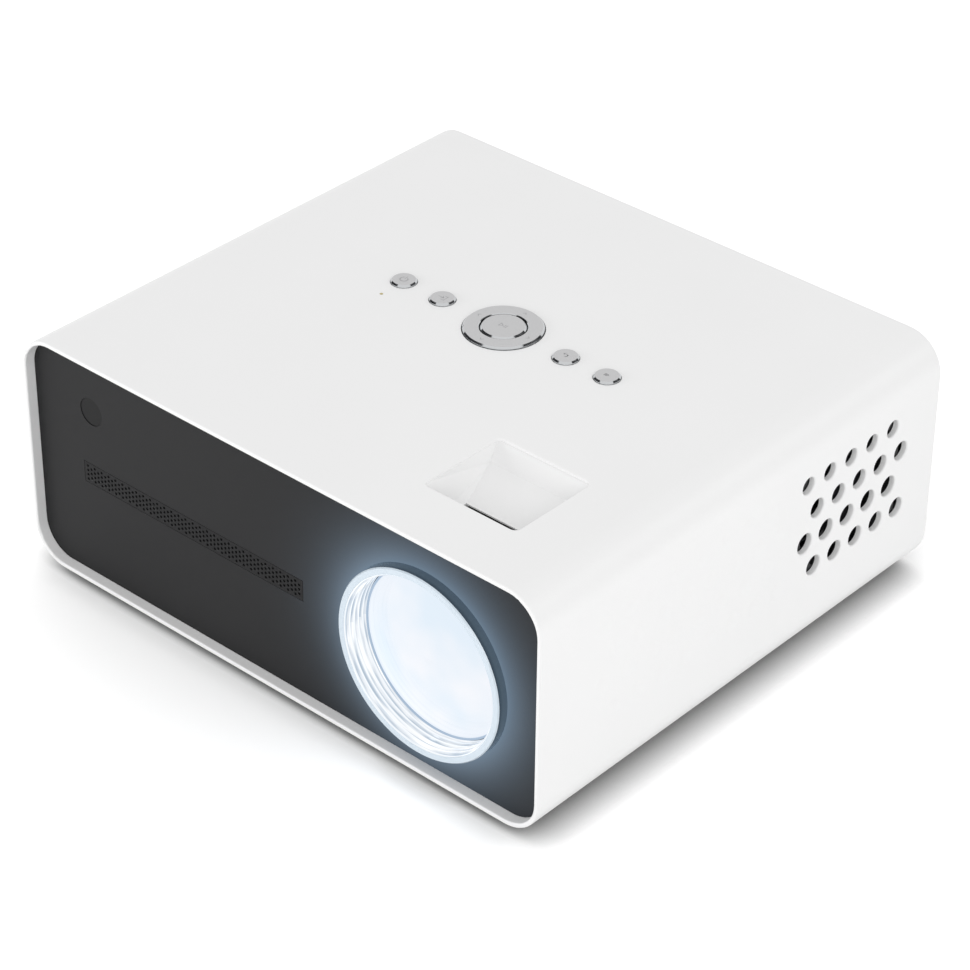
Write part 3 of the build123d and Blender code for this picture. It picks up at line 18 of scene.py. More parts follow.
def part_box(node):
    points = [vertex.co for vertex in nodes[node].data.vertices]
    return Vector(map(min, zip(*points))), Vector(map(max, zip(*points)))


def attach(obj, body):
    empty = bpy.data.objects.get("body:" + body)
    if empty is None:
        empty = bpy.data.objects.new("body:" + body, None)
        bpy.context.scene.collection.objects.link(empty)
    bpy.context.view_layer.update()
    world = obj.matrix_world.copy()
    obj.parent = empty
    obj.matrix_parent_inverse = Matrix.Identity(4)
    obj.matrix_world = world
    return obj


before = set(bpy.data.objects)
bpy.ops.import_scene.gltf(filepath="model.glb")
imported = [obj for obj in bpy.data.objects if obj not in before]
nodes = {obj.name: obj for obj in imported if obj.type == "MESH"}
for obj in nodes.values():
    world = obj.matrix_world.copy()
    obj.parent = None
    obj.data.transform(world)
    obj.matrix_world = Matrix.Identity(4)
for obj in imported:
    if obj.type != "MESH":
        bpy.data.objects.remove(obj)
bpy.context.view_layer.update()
MM = 0.001

# %% [markdown]
# ## Colours and nodes
# Colours are written as sRGB hex values, as a colour card or a picture gives them. Blender's
# shaders want linear light, so one function converts them. A second one adds any shader node with
# its settings and links, which keeps each material down to the few lines that matter.


# %% Colour and node helpers
def linear(hex_colour):
    """An sRGB hex colour such as "E8E8E8" as linear RGBA."""
    shares = [int(hex_colour[i:i + 2], 16) / 255 for i in (0, 2, 4)]
    light = [v / 12.92 if v <= 0.04045 else ((v + 0.055) / 1.055) ** 2.4 for v in shares]
    return (*light, 1.0)


def add(tree, kind, inputs=None, **settings):
    """A new shader node. A socket among the inputs becomes a link, anything else a value."""
    node = tree.nodes.new(kind)
    for name, value in settings.items():
        setattr(node, name, value)
    for name, value in (inputs or {}).items():
        if isinstance(value, bpy.types.NodeSocket):
            tree.links.new(value, node.inputs[name])
        else:
            node.inputs[name].default_value = value
    return node


print("middle grey in linear light:", [round(v, 3) for v in linear("808080")])

# %% [markdown]
# ## Materials and pieces
# Every finish here is one Principled shader, whose sockets match what a maker knows of a material:
# colour, gloss, whether it is metal. A piece of the frame takes its finish in its first material
# slot. The names of the dressed pieces are kept, so that we can see at the end that none is bare.

# %% Make a material and give it to pieces
dressed = set()


def new_material(name, **sockets):
    """A material with one Principled shader; sockets are set on the shader by their names."""
    material = bpy.data.materials.new(name)
    material.use_nodes = True
    tree = material.node_tree
    tree.nodes.clear()
    values = {socket.replace("_", " "): value for socket, value in sockets.items()}
    shader = add(tree, "ShaderNodeBsdfPrincipled", values)
    output = add(tree, "ShaderNodeOutputMaterial")
    tree.links.new(shader.outputs[0], output.inputs["Surface"])
    return material, tree, shader


def dress(material, *names):
    """Gives a CAD piece, or several, one material."""
    for name in names:
        slots = nodes[name].data.materials
        slots.clear()
        slots.append(material)
        dressed.add(name)


print("pieces to dress:", len(nodes))

# %% [markdown]
# ## Patterns in real millimetres
# No real surface has one flat colour: plastic, glass and metal all drift a little in shade. Noise
# that lies in the piece's own space shows this on curved pieces without any picture or unwrapping.
# Its scale comes from a real size, and it stays on the piece when the piece moves.


# %% Noise by its size
def surface_noise(tree, size_mm, detail=2.0):
    """Noise whose blotches are about size_mm across, on the piece's own millimetres."""
    place = add(tree, "ShaderNodeTexCoord")
    return add(
        tree, "ShaderNodeTexNoise",
        {"Vector": place.outputs["Object"], "Scale": 1.0 / (size_mm * MM), "Detail": detail},
    )


def mottle(tree, shader, size_mm, colour, shade):
    """Lets the shader's colour wander between two shades, in blotches about size_mm across."""
    patches = surface_noise(tree, size_mm).outputs["Fac"]
    drift = add(
        tree, "ShaderNodeMix",
        {0: patches, 6: linear(colour), 7: linear(shade)}, data_type="RGBA",
    )
    tree.links.new(drift.outputs[2], shader.inputs["Base Color"])


print("noise scale for blotches of 1 mm:", 1.0 / MM)

# %% [markdown]
# ## White ABS, injection moulded
# The casing, the tray's bezel and the eject button are ABS from a spark-eroded mould. The mould's
# fine grain spreads the light, so the plastic looks satin: broad soft highlights on the rounded
# edges and no mirror image. A fine noise gives the grain, in height and in gloss, and a slow one
# lets the shade wander a little, as it does on a big moulding. The real grain is about 0.1 mm. It
# is drawn coarser, so that it shows at all.

# %% White ABS
SHELL_WHITE = "F0F0F0"
SHELL_SHADE = "EDEDED"
GRAIN_MM = 0.45
GRAIN_DEPTH_MM = 0.012
DRIFT_MM = 60.0
GLOSS_SWING = 0.04


def moulded_plastic(
    name, colour, shade, roughness, grain_mm=GRAIN_MM, depth_mm=GRAIN_DEPTH_MM, **sockets
):
    """A moulded plastic: slow drift of shade, and the mould's grain in gloss and height."""
    material, tree, shader = new_material(name, IOR=1.54, **sockets)
    mottle(tree, shader, DRIFT_MM, colour, shade)
    grain = surface_noise(tree, grain_mm).outputs["Fac"]
    gloss = add(
        tree, "ShaderNodeMapRange",
        {"Value": grain, "To Min": roughness - GLOSS_SWING, "To Max": roughness + GLOSS_SWING},
    )
    tree.links.new(gloss.outputs["Result"], shader.inputs["Roughness"])
    relief = add(tree, "ShaderNodeBump", {"Height": grain, "Distance": depth_mm * MM})
    tree.links.new(relief.outputs["Normal"], shader.inputs["Normal"])
    return material


white_abs = moulded_plastic("white ABS, spark-eroded mould", SHELL_WHITE, SHELL_SHADE, 0.42)
dress(white_abs, "outer_shell", "tray_bezel", "eject_button")
print("grain:", GRAIN_MM, "mm")

# %% [markdown]
# ## The lens axis
# Several finishes change with the distance from the lens: the light on the front, the ring and the
# glass. Painting them by that distance keeps them in place from every side, where light from a
# real lamp behind thick glass would need many samples. The axis is read from the ring's own box.

# %% Distance from the lens axis
RING_RADIUS = 36.9 * MM
lens_low, lens_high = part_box("lens_trim_ring")
lens_x = (lens_low.x + lens_high.x) / 2
lens_z = (lens_low.z + lens_high.z) / 2
front_y = lens_low.y


def lens_distance(tree):
    """Distance from the lens axis, in metres, at each point of a surface."""
    place = add(tree, "ShaderNodeTexCoord")
    flat = add(
        tree, "ShaderNodeVectorMath",
        {0: place.outputs["Object"], 1: (1, 0, 1)}, operation="MULTIPLY",
    )
    return add(
        tree, "ShaderNodeVectorMath",
        {0: flat.outputs[0], 1: (lens_x, 0, lens_z)}, operation="DISTANCE",
    ).outputs["Value"]


print("lens axis at", round(lens_x / MM, 1), round(lens_z / MM, 1), "mm")

# %% [markdown]
# ## The dark front
# The front panel is dark grey ABS with a smoother skin, which reflects little. The lit lens spills
# a bluish light over it. The spill is a weak emission, strongest beside the ring, that falls to
# about a third for every 8.5 mm away from it, which was matched to the photograph's halo.

# %% Dark ABS with the lens light on it
FRONT_GREY = "262627"
SPILL = 0.27
FOLD_MM = 8.5


def lens_spill(tree, shader):
    """Weak bluish emission that falls to 1/e for every FOLD_MM away from the ring."""
    fold_end = RING_RADIUS + FOLD_MM * MM
    folds = add(
        tree, "ShaderNodeMapRange",
        {"Value": lens_distance(tree), "From Min": RING_RADIUS, "From Max": fold_end},
        clamp=False,
    )
    fall = add(tree, "ShaderNodeMath", {0: 1 / e, 1: folds.outputs["Result"]}, operation="POWER")
    glow = add(tree, "ShaderNodeMath", {0: fall.outputs[0], 1: SPILL}, operation="MULTIPLY")
    shader.inputs["Emission Color"].default_value = linear("BFE0FF")
    tree.links.new(glow.outputs[0], shader.inputs["Emission Strength"])


front_abs = moulded_plastic(
    "dark grey ABS, satin mould", FRONT_GREY, "222223", 0.5,
    depth_mm=0.006, Specular_IOR_Level=0.12,
)
front_tree = front_abs.node_tree
lens_spill(front_tree, front_tree.nodes["Principled BSDF"])
dress(front_abs, "front_panel")
print("spill at the ring:", SPILL, "falling over", FOLD_MM, "mm")

# %% [markdown]
# ## Other dark covers
# The speaker strip is the same ABS in black, so that its holes read as depth. The rear panel and
# the base cover are plain dark mouldings with a little more shine than the front.
# A disc of smoked acrylic lets the infrared of the remote control through and looks almost black.
# It is nearly the panel's shade in the photograph, only a touch darker and more even.

# %% Strip, rear, base and receiver window
mesh_abs = moulded_plastic(
    "black ABS, perforated strip", "202021", "1D1D1E", 0.5,
    depth_mm=0.004, Specular_IOR_Level=0.12,
)
dress(mesh_abs, "front_grille")
rear_abs = moulded_plastic(
    "dark grey ABS, rear cover", "2E2E2F", "2A2A2B", 0.5, Specular_IOR_Level=0.3
)
dress(rear_abs, "rear_panel", "base_cover")
smoked_acrylic, smoked_tree, smoked_shader = new_material(
    "smoked acrylic, satin", Roughness=0.35, IOR=1.49, Specular_IOR_Level=0.12
)
mottle(smoked_tree, smoked_shader, 3.0, "141415", "111112")
dress(smoked_acrylic, "ir_window")
print("dressed so far:", sorted(dressed))

# %% [markdown]
# ## Satin keys with bright edges
# The caps are plastic with a vapour-deposited metal skin: the top is lacquered satin, so little of
# the metal's mirror is left there, and the rounded edge and the side stay bright. The two finishes
# are told apart by the slope of the surface. Where the normal points straight up the cap is satin,
# and where it leans it is bright.

# %% Key caps
EDGE_SLOPE = 0.86
TOP_SLOPE = 0.97
BRUSHING_MM = 0.5
KEY_NAMES = (
    "power_button", "source_button", "back_button", "menu_button", "nav_ring", "ok_button",
)


def metallised_cap(name):
    """Satin where the cap faces up, bright where its edge and side lean away."""
    material, tree, shader = new_material(name, IOR=1.5)
    place = add(tree, "ShaderNodeTexCoord")
    normal = add(tree, "ShaderNodeSeparateXYZ", {0: place.outputs["Normal"]})
    flat = add(
        tree, "ShaderNodeMapRange",
        {"Value": normal.outputs["Z"], "From Min": EDGE_SLOPE, "From Max": TOP_SLOPE},
    ).outputs["Result"]
    brushing = surface_noise(tree, BRUSHING_MM).outputs["Fac"]
    satin = add(
        tree, "ShaderNodeMix",
        {0: brushing, 6: linear("CBCBCC"), 7: linear("C5C5C6")}, data_type="RGBA",
    )
    cap = add(
        tree, "ShaderNodeMix",
        {0: flat, 6: linear("D8DADC"), 7: satin.outputs[2]}, data_type="RGBA",
    )
    tree.links.new(cap.outputs[2], shader.inputs["Base Color"])
    for socket, edge, top in (("Roughness", 0.12, 0.5), ("Metallic", 1.0, 0.25)):
        level = add(tree, "ShaderNodeMapRange", {"Value": flat, "To Min": edge, "To Max": top})
        tree.links.new(level.outputs["Result"], shader.inputs[socket])
    return material


dress(metallised_cap("metallised ABS, satin top and bright edge"), *KEY_NAMES)
print("keys dressed:", len(KEY_NAMES))

# %% [markdown]
# ## Printing on the keys
# A pad-printed mark is a thin film of ink. A picture would need unwrapping, so each mark is built
# as real geometry: flat strips about a quarter of a millimetre wide along the lines of the sign,
# half sunk in the key's top. They ride on the key's body, and so they go down with it.

# %% Strips of ink
STROKE_MM = 0.26
INK_MM = 0.008


def strip_corners(start, end):
    """The four corners of a strip between two points, in millimetres."""
    along = (end - start).normalized() * STROKE_MM / 2
    across = Vector((-along.y, along.x))
    first, last = start - along, end + along
    return [first - across, last - across, last + across, first + across]


def key_mark(name, body, centre, top, lines, ink):
    """Strips on a key's top; lines are lists of points in millimetres about the centre."""
    drawing = bmesh.new()
    for line in lines:
        points = [Vector(point) for point in line]
        for start, end in zip(points, points[1:]):
            strip = strip_corners(start, end)
            corners = [(centre.x + c.x * MM, centre.y + c.y * MM) for c in strip]
            lower = [drawing.verts.new((x, y, top - INK_MM * MM)) for x, y in corners]
            upper = [drawing.verts.new((x, y, top + INK_MM * MM)) for x, y in corners]
            drawing.faces.new(upper)
            drawing.faces.new(lower[::-1])
            for side in range(4):
                other = (side + 1) % 4
                drawing.faces.new((lower[side], lower[other], upper[other], upper[side]))
    mesh = bpy.data.meshes.new(name)
    drawing.to_mesh(mesh)
    drawing.free()
    mesh.materials.append(ink)
    mark = bpy.data.objects.new(name, mesh)
    bpy.context.scene.collection.objects.link(mark)
    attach(mark, body)


def arc(radius, start, end, steps=14):
    """Points on an arc about the origin, between two angles in degrees."""
    angles = [radians(start + (end - start) * step / steps) for step in range(steps + 1)]
    return [(radius * cos(angle), radius * sin(angle)) for angle in angles]


print("ink stands", INK_MM, "mm proud of a key")

# %% [markdown]
# ## The marks
# The photograph shows small grey signs that can't be read, so these are the usual ones: a power
# sign, an input arrow, a return arrow and a short list on the round keys, four arrows on the ring,
# and play with pause in the middle. Each is a few lines, in millimetres from the key's centre.

# %% Marks on the round keys
INK_FINISH = dict(roughness=0.5, grain_mm=0.3, depth_mm=0.001)
grey_ink = moulded_plastic("grey pad-printed ink", "A4A4A6", "9C9C9E", **INK_FINISH)
dark_ink = moulded_plastic("dark pad-printed ink", "6A6A6C", "626264", **INK_FINISH)
power_sign = [arc(1.5, 120, 420), [(0, 0.5), (0, 2.1)]]
input_sign = [
    [(0.4, 1.3), (1.6, 1.3), (1.6, -1.3), (0.4, -1.3)],
    [(-1.7, 0), (0.5, 0)],
    [(-0.2, 0.7), (0.5, 0), (-0.2, -0.7)],
]
return_sign = [
    [(-1.4, 0.7), (0.8, 0.7)],
    arc(0.7, 90, -90, 8)[1:],
    [(-0.7, 1.4), (-1.4, 0.7), (-0.7, 0.0)],
]
list_sign = [[(-1.1, y), (0.7 - abs(y), y)] for y in (-0.5, 0, 0.5)]
marks = {
    "power": (power_sign, grey_ink),
    "source": (input_sign, grey_ink),
    "back": (return_sign, grey_ink),
    "menu": (list_sign, dark_ink),
}
for key, (lines, ink) in marks.items():
    low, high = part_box(f"{key}_button")
    key_mark(f"{key}_mark", f"{key}_key", (low + high) / 2, high.z, lines, ink)
print("marks on round keys:", len(marks))

# %% Marks on the four-way ring and the middle key
arrow = ((-0.7, 11.5), (0, 12.3), (0.7, 11.5))
turns = [Matrix.Rotation(quarter * pi / 2, 2) for quarter in range(4)]
arrows = [[tuple(turn @ Vector(point)) for point in arrow] for turn in turns]
low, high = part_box("nav_ring")
key_mark("nav_marks", "nav_key", (low + high) / 2, high.z, arrows, grey_ink)
play_and_pause = [
    [(-1.6, -0.9), (-1.6, 0.9), (-0.2, 0), (-1.6, -0.9)],
    [(0.6, -0.8), (0.6, 0.8)],
    [(1.4, -0.8), (1.4, 0.8)],
]
low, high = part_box("ok_button")
key_mark("ok_mark", "ok_key", (low + high) / 2, high.z, play_and_pause, grey_ink)
print("arrows on the ring:", len(arrows))

# %% [markdown]
# ## The lens ring
# The ring is polished acrylic, pale blue-grey where it is cut square at the front. Its outer wall
# is painted a dark blue-grey, a painted shade with the panel's bluish light in it: from above you
# see it as a dark crescent. Inside, stepped ribs catch the lens light in bright bands with grey
# lines between them, and long streaks of painted light run round them.
# The ribs are real geometry in the frame. Their light is painted as emission by depth, because a
# real lamp behind thick glass would give a noisy picture.

# %% Painted light streaks round the axis
RIB_START_MM = 1.4
RIB_END_MM = 9.9
RIBS = 4
RIB_GLOW = 0.95


def painted_light_streaks(tree, along):
    """Long soft streaks of painted light round the lens axis: noise on the turn and the depth."""
    place = add(tree, "ShaderNodeTexCoord")
    around = add(
        tree, "ShaderNodeVectorMath",
        {0: place.outputs["Object"], 1: (lens_x, 0, lens_z)}, operation="SUBTRACT",
    )
    parts = add(tree, "ShaderNodeSeparateXYZ", {0: around.outputs[0]})
    angle = add(
        tree, "ShaderNodeMath",
        {0: parts.outputs["Z"], 1: parts.outputs["X"]}, operation="ARCTAN2",
    )
    flow = add(tree, "ShaderNodeCombineXYZ", {"X": angle.outputs[0], "Y": along})
    noise = add(tree, "ShaderNodeTexNoise", {"Vector": flow.outputs[0], "Scale": 1.6, "Detail": 2.0})
    return add(
        tree, "ShaderNodeMapRange",
        {"Value": noise.outputs["Fac"], "From Min": 0.42, "From Max": 0.62},
    ).outputs["Result"]


def rib_light(tree, depth_axis):
    """The colour of the lit ribs: one bright band and one grey line for each rib."""
    bands = add(
        tree, "ShaderNodeMapRange",
        {
            "Value": depth_axis, "From Min": front_y + RIB_START_MM * MM,
            "From Max": front_y + RIB_END_MM * MM, "To Max": float(RIBS),
        },
        clamp=False,
    ).outputs["Result"]
    within = add(tree, "ShaderNodeMath", {0: bands}, operation="FRACT").outputs[0]
    ramp = add(tree, "ShaderNodeValToRGB", {"Fac": within})
    stops = ramp.color_ramp.elements
    stops[0].color = linear("AEBCCB")
    stops[1].position, stops[1].color = 0.2, linear("E6EEF6")
    for position, colour in ((0.45, "FDFEFF"), (0.72, "DCE6F0"), (0.82, "AAB9C8"), (1.0, "AEBCCB")):
        stops.new(position).color = linear(colour)
    return add(
        tree, "ShaderNodeMix",
        {0: painted_light_streaks(tree, bands), 6: ramp.outputs[0], 7: linear("FDFEFF")}, data_type="RGBA",
    ).outputs[2]


print("ribs:", RIBS, "over", round(RIB_END_MM - RIB_START_MM, 2), "mm")

# %% [markdown]
# ## Where the ring is pale, dark or lit
# Two tests on each point tell the three colourings apart. The outer wall lies at the full radius
# and doesn't face forward. The ribbed bore lies inside the pale front face. The painted shade on
# the outer wall is a little paler near the panel, where painted lens light reaches it.

# %% The ring
PROUD_MM = 2.2
FACE_MM = 2.6
FACE_BLEND_MM = 0.15
WALL_INSET_MM = 0.25
FACING_FRONT = -0.6


def ring_finish():
    """Polished acrylic: pale front face, painted shade on the outer wall, painted light on the ribs.
    """
    material, tree, shader = new_material(
        "polished acrylic, painted shade on outer wall",
        IOR=1.49, Roughness=0.12, Coat_Weight=0.4, Coat_Roughness=0.05,
    )
    place = add(tree, "ShaderNodeTexCoord")
    place_y = add(tree, "ShaderNodeSeparateXYZ", {0: place.outputs["Object"]}).outputs["Y"]
    normal = add(tree, "ShaderNodeSeparateXYZ", {0: place.outputs["Normal"]})
    side_on = add(
        tree, "ShaderNodeMath", {0: normal.outputs["Y"], 1: FACING_FRONT},
        operation="GREATER_THAN",
    )
    outside = add(
        tree, "ShaderNodeMath", {0: lens_distance(tree), 1: RING_RADIUS - WALL_INSET_MM * MM},
        operation="GREATER_THAN",
    )
    on_wall = add(
        tree, "ShaderNodeMath", {0: side_on.outputs[0], 1: outside.outputs[0]},
        operation="MULTIPLY",
    )
    cloud = surface_noise(tree, 9.0).outputs["Fac"]
    pale = add(
        tree, "ShaderNodeMix",
        {0: cloud, 6: linear("D3DFE9"), 7: linear("CBD8E3")}, data_type="RGBA",
    )
    # Painted shade on the outer wall: dark blue-grey, paler near the panel where painted lens light
    # reaches it.
    depth = add(
        tree, "ShaderNodeMapRange",
        {"Value": place_y, "From Min": front_y, "From Max": front_y + PROUD_MM * MM},
    )
    wall = add(
        tree, "ShaderNodeMix",
        {0: depth.outputs["Result"], 6: linear("33424F"), 7: linear("5C6D7B")}, data_type="RGBA",
    )
    outer = add(
        tree, "ShaderNodeMix",
        {0: on_wall.outputs[0], 6: pale.outputs[2], 7: wall.outputs[2]}, data_type="RGBA",
    )
    bore_edge = RING_RADIUS - FACE_MM * MM
    in_bore = add(
        tree, "ShaderNodeMapRange",
        {
            "Value": lens_distance(tree), "From Min": bore_edge - FACE_BLEND_MM * MM,
            "From Max": bore_edge, "To Min": 1.0, "To Max": 0.0,
        },
    ).outputs["Result"]
    # Inside the bore the colour is dark, and the ribs' look comes from their painted light.
    whole = add(
        tree, "ShaderNodeMix",
        {0: in_bore, 6: outer.outputs[2], 7: linear("2A3138")}, data_type="RGBA",
    )
    strength = add(tree, "ShaderNodeMath", {0: in_bore, 1: RIB_GLOW}, operation="MULTIPLY")
    tree.links.new(whole.outputs[2], shader.inputs["Base Color"])
    tree.links.new(rib_light(tree, place_y), shader.inputs["Emission Color"])
    tree.links.new(strength.outputs[0], shader.inputs["Emission Strength"])
    return material


dress(ring_finish(), "lens_trim_ring")
print("ring outer radius:", RING_RADIUS / MM, "mm, pale face", FACE_MM, "mm")

# %% [markdown]
# ## The front lens
# It is coated glass with the lamp behind it. It glows nearly white, a little bluer in soft
# patches, and is a shade dimmer in its middle than at its rim. The glass itself is a dark,
# smooth surface under that emission, so it still mirrors the room faintly.

# %% Lit glass
LENS_CORE_MM = 24.0
LENS_RIM_MM = 32.5
PATCH_MM = 26.0


def lit_lens():
    """Glass lit from behind: soft patches in the middle, an even rim."""
    material, tree, shader = new_material(
        "coated glass, lamp behind", IOR=1.52, Roughness=0.08, Specular_IOR_Level=0.35
    )
    shader.inputs["Base Color"].default_value = linear("101418")
    cloud = surface_noise(tree, PATCH_MM).outputs["Fac"]
    patches = add(
        tree, "ShaderNodeMapRange", {"Value": cloud, "From Min": 0.35, "From Max": 0.65}
    )
    rim = add(
        tree, "ShaderNodeMapRange",
        {
            "Value": lens_distance(tree),
            "From Min": LENS_CORE_MM * MM, "From Max": LENS_RIM_MM * MM,
        },
    ).outputs["Result"]
    core = add(
        tree, "ShaderNodeMix",
        {0: patches.outputs["Result"], 6: linear("F8FAFF"), 7: linear("E6F2FD")},
        data_type="RGBA",
    )
    glow = add(
        tree, "ShaderNodeMix", {0: rim, 6: core.outputs[2], 7: linear("EEF4FC")},
        data_type="RGBA",
    )
    strength = add(tree, "ShaderNodeMapRange", {"Value": rim, "To Min": 0.92, "To Max": 0.93})
    tree.links.new(glow.outputs[2], shader.inputs["Emission Color"])
    tree.links.new(strength.outputs["Result"], shader.inputs["Emission Strength"])
    return material


dress(lit_lens(), "front_lens")
print("lens patches about", PATCH_MM, "mm across")

# %% [markdown]
# ## The lens barrel
# The barrel that carries the glass is black nylon. Only its front lip catches the lamp's light, so
# the lip glows a pale blue that ends a few millimetres behind it, and the rest stays black.

# %% Barrel with a lit lip
LIP_MM = 3.0
LIP_FADE_MM = 1.0
LIP_GLOW = 0.75


def barrel_finish():
    """Black nylon, with the lamp's light on its front lip beside the glass."""
    material = moulded_plastic("black nylon, lip lit by the lamp", "1E1E20", "242426", 0.48)
    tree = material.node_tree
    shader = tree.nodes["Principled BSDF"]
    place = add(tree, "ShaderNodeTexCoord")
    place_y = add(tree, "ShaderNodeSeparateXYZ", {0: place.outputs["Object"]}).outputs["Y"]
    lip_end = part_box("lens_barrel")[0].y + LIP_MM * MM
    lip = add(
        tree, "ShaderNodeMapRange",
        {
            "Value": place_y, "From Min": lip_end, "From Max": lip_end + LIP_FADE_MM * MM,
            "To Min": LIP_GLOW, "To Max": 0.0,
        },
    )
    shader.inputs["Emission Color"].default_value = linear("B4CBE4")
    tree.links.new(lip.outputs["Result"], shader.inputs["Emission Strength"])
    return material


dress(barrel_finish(), "lens_barrel")
print("lit lip:", LIP_MM, "mm deep")

# %% [markdown]
# ## Glass inside
# The lenses behind the front one are clear polished glass. They are hidden in the casing, so plain
# transmission with a faint drift of tint is enough. The small status light on the top is a clear
# polycarbonate light guide, a little amber. The picture panel is dark display glass.

# %% Optical glass, light guide and display glass
inner_glass, glass_tree, glass_shader = new_material(
    "optical glass, polished", IOR=1.52, Roughness=0.02, Transmission_Weight=1.0
)
mottle(glass_tree, glass_shader, 8.0, "F4F8FB", "EEF4F8")
dress(inner_glass, "rear_lenses", "condenser_lens", "fresnel_lenses")
guide, guide_tree, guide_shader = new_material(
    "clear polycarbonate light guide", IOR=1.58, Roughness=0.2, Transmission_Weight=0.4
)
mottle(guide_tree, guide_shader, 0.4, "E8D9A0", "D9C98C")
dress(guide, "status_light")
lcd_glass, lcd_tree, lcd_shader = new_material("display glass, dark", IOR=1.52, Roughness=0.08)
mottle(lcd_tree, lcd_shader, 0.3, "1A1D22", "22262C")
dress(lcd_glass, "lcd_panel")
print("pieces dressed so far:", len(dressed))

# %% [markdown]
# ## Plastics inside and below
# Nylon, glass-filled plastic and painted or sintered parts all have a fine grain, so they share
# the moulded plastic function with their own shade, gloss and grain. The focus ring's grip is
# duller, and its colour is set darker than the nylon's as painted shade, so that it reads as the
# dark line in the finger recess. Rubber is the dullest, with a slightly pitted skin.

# %% Dark plastics and rubber
black_nylon = moulded_plastic("black nylon, moulded", "1E1E20", "242426", 0.48)
dress(
    black_nylon, "fan_frame", "fan_rotor", "key_switches", "nav_pivot_ring", "foot_screw",
    "power_inlet", "audio_jacks", "ir_sensor", "board_chips",
)
filled_plastic = moulded_plastic(
    "glass-filled polycarbonate, moulded", "2A2A2C", "323234", 0.6, depth_mm=0.03
)
dress(filled_plastic, "engine_case", "lens_mount")
# Painted shade: the grip is darker than the other black nylon, to read as the recess's dark line.
grip_nylon_painted_shade = moulded_plastic(
    "black nylon, knurled grip, painted recess shade", "0E0E0F", "121213", 0.6, Specular_IOR_Level=0.2
)
dress(grip_nylon_painted_shade, "focus_ring")
chassis_abs = moulded_plastic("grey ABS, moulded", "4A4B4D", "454648", 0.5)
dress(chassis_abs, "chassis_plate")
tray_abs = moulded_plastic("black ABS, drive tray", "202022", "262628", 0.4)
dress(tray_abs, "disc_tray", "turntable")
rubber = moulded_plastic(
    "moulded rubber", "1C1C1D", "262627", 0.75, grain_mm=0.6, depth_mm=0.04
)
dress(rubber, "rubber_feet", "foot_pad")
speaker_paint = moulded_plastic("black painted steel", "222224", "28282A", 0.5)
dress(speaker_paint, "speakers")
ferrite = moulded_plastic(
    "sintered ferrite", "3A3B3E", "2E2F31", 0.6, grain_mm=0.8, depth_mm=0.03
)
dress(ferrite, "transformer")
print("pieces dressed so far:", len(dressed))

# %% [markdown]
# ## Metals
# A metal's colour is its reflection, and its roughness is how it was worked: extruded aluminium
# has fine lines along the draw, galvanised sheet has pale patches of zinc crystals, turned brass
# has rings, and zinc-plated screws and nickel-plated sockets are smooth. One function takes the
# colour, the gloss and the size of the pattern. A scale below 1 on an axis draws the pattern out
# along it, and one above 1 packs it closer.

# %% Metals
WORKING_DEPTH_MM = 0.004
WORKING_SWING = 0.06


def worked_metal(name, colour, shade, roughness, pattern_mm, scale=(1, 1, 1)):
    """A bare or plated metal, with the marks of its working in colour, gloss and height."""
    material, tree, shader = new_material(name, Metallic=1.0)
    place = add(tree, "ShaderNodeTexCoord")
    drawn = add(
        tree, "ShaderNodeMapping", {"Vector": place.outputs["Object"], "Scale": scale}
    )
    working = add(
        tree, "ShaderNodeTexNoise",
        {"Vector": drawn.outputs[0], "Scale": 1.0 / (pattern_mm * MM), "Detail": 3.0},
    ).outputs["Fac"]
    tone = add(
        tree, "ShaderNodeMix",
        {0: working, 6: linear(colour), 7: linear(shade)}, data_type="RGBA",
    )
    gloss = add(
        tree, "ShaderNodeMapRange",
        {
            "Value": working,
            "To Min": roughness - WORKING_SWING, "To Max": roughness + WORKING_SWING,
        },
    )
    relief = add(
        tree, "ShaderNodeBump", {"Height": working, "Distance": WORKING_DEPTH_MM * MM}
    )
    tree.links.new(tone.outputs[2], shader.inputs["Base Color"])
    tree.links.new(gloss.outputs["Result"], shader.inputs["Roughness"])
    tree.links.new(relief.outputs["Normal"], shader.inputs["Normal"])
    return material


aluminium = worked_metal("extruded aluminium", "D2D4D6", "C2C4C7", 0.34, 0.5, (1, 0.04, 1))
dress(aluminium, "heat_sink", "capacitors", "laser_pickup")
zinc_sheet = worked_metal("galvanised steel sheet", "BFC2C4", "A9ACAF", 0.36, 7.0)
dress(zinc_sheet, "drive_chassis", "drive_lid", "slide_rails", "drive_motors")
zinc_plate = worked_metal("zinc-plated steel", "C9CACB", "B5B7B9", 0.26, 0.8)
dress(zinc_plate, "case_screws", "inner_screws", "guide_rods", "lead_screw")
nickel = worked_metal("nickel-plated steel", "D6D3CC", "C9C6BF", 0.22, 1.2)
dress(nickel, "hdmi_socket", "usb_sockets")
brass = worked_metal("turned brass", "D6B36A", "C7A25A", 0.28, 0.4, (1, 1, 6))
dress(brass, "tripod_insert")
print("pieces dressed so far:", len(dressed))

# %% [markdown]
# ## Circuit boards
# A board is glass-fibre under green lacquer: the copper tracks below it show as slightly paler,
# slightly raised lines. Real tracks wander, but the boards are hidden in the casing, so square
# outlines nested in cells stand in for them, 1.3 mm from one to the next.

# %% Lacquered boards
TRACK_MM = 1.3
TRACKS_PER_CELL = 6.0
TRACK_DEPTH_MM = 0.03


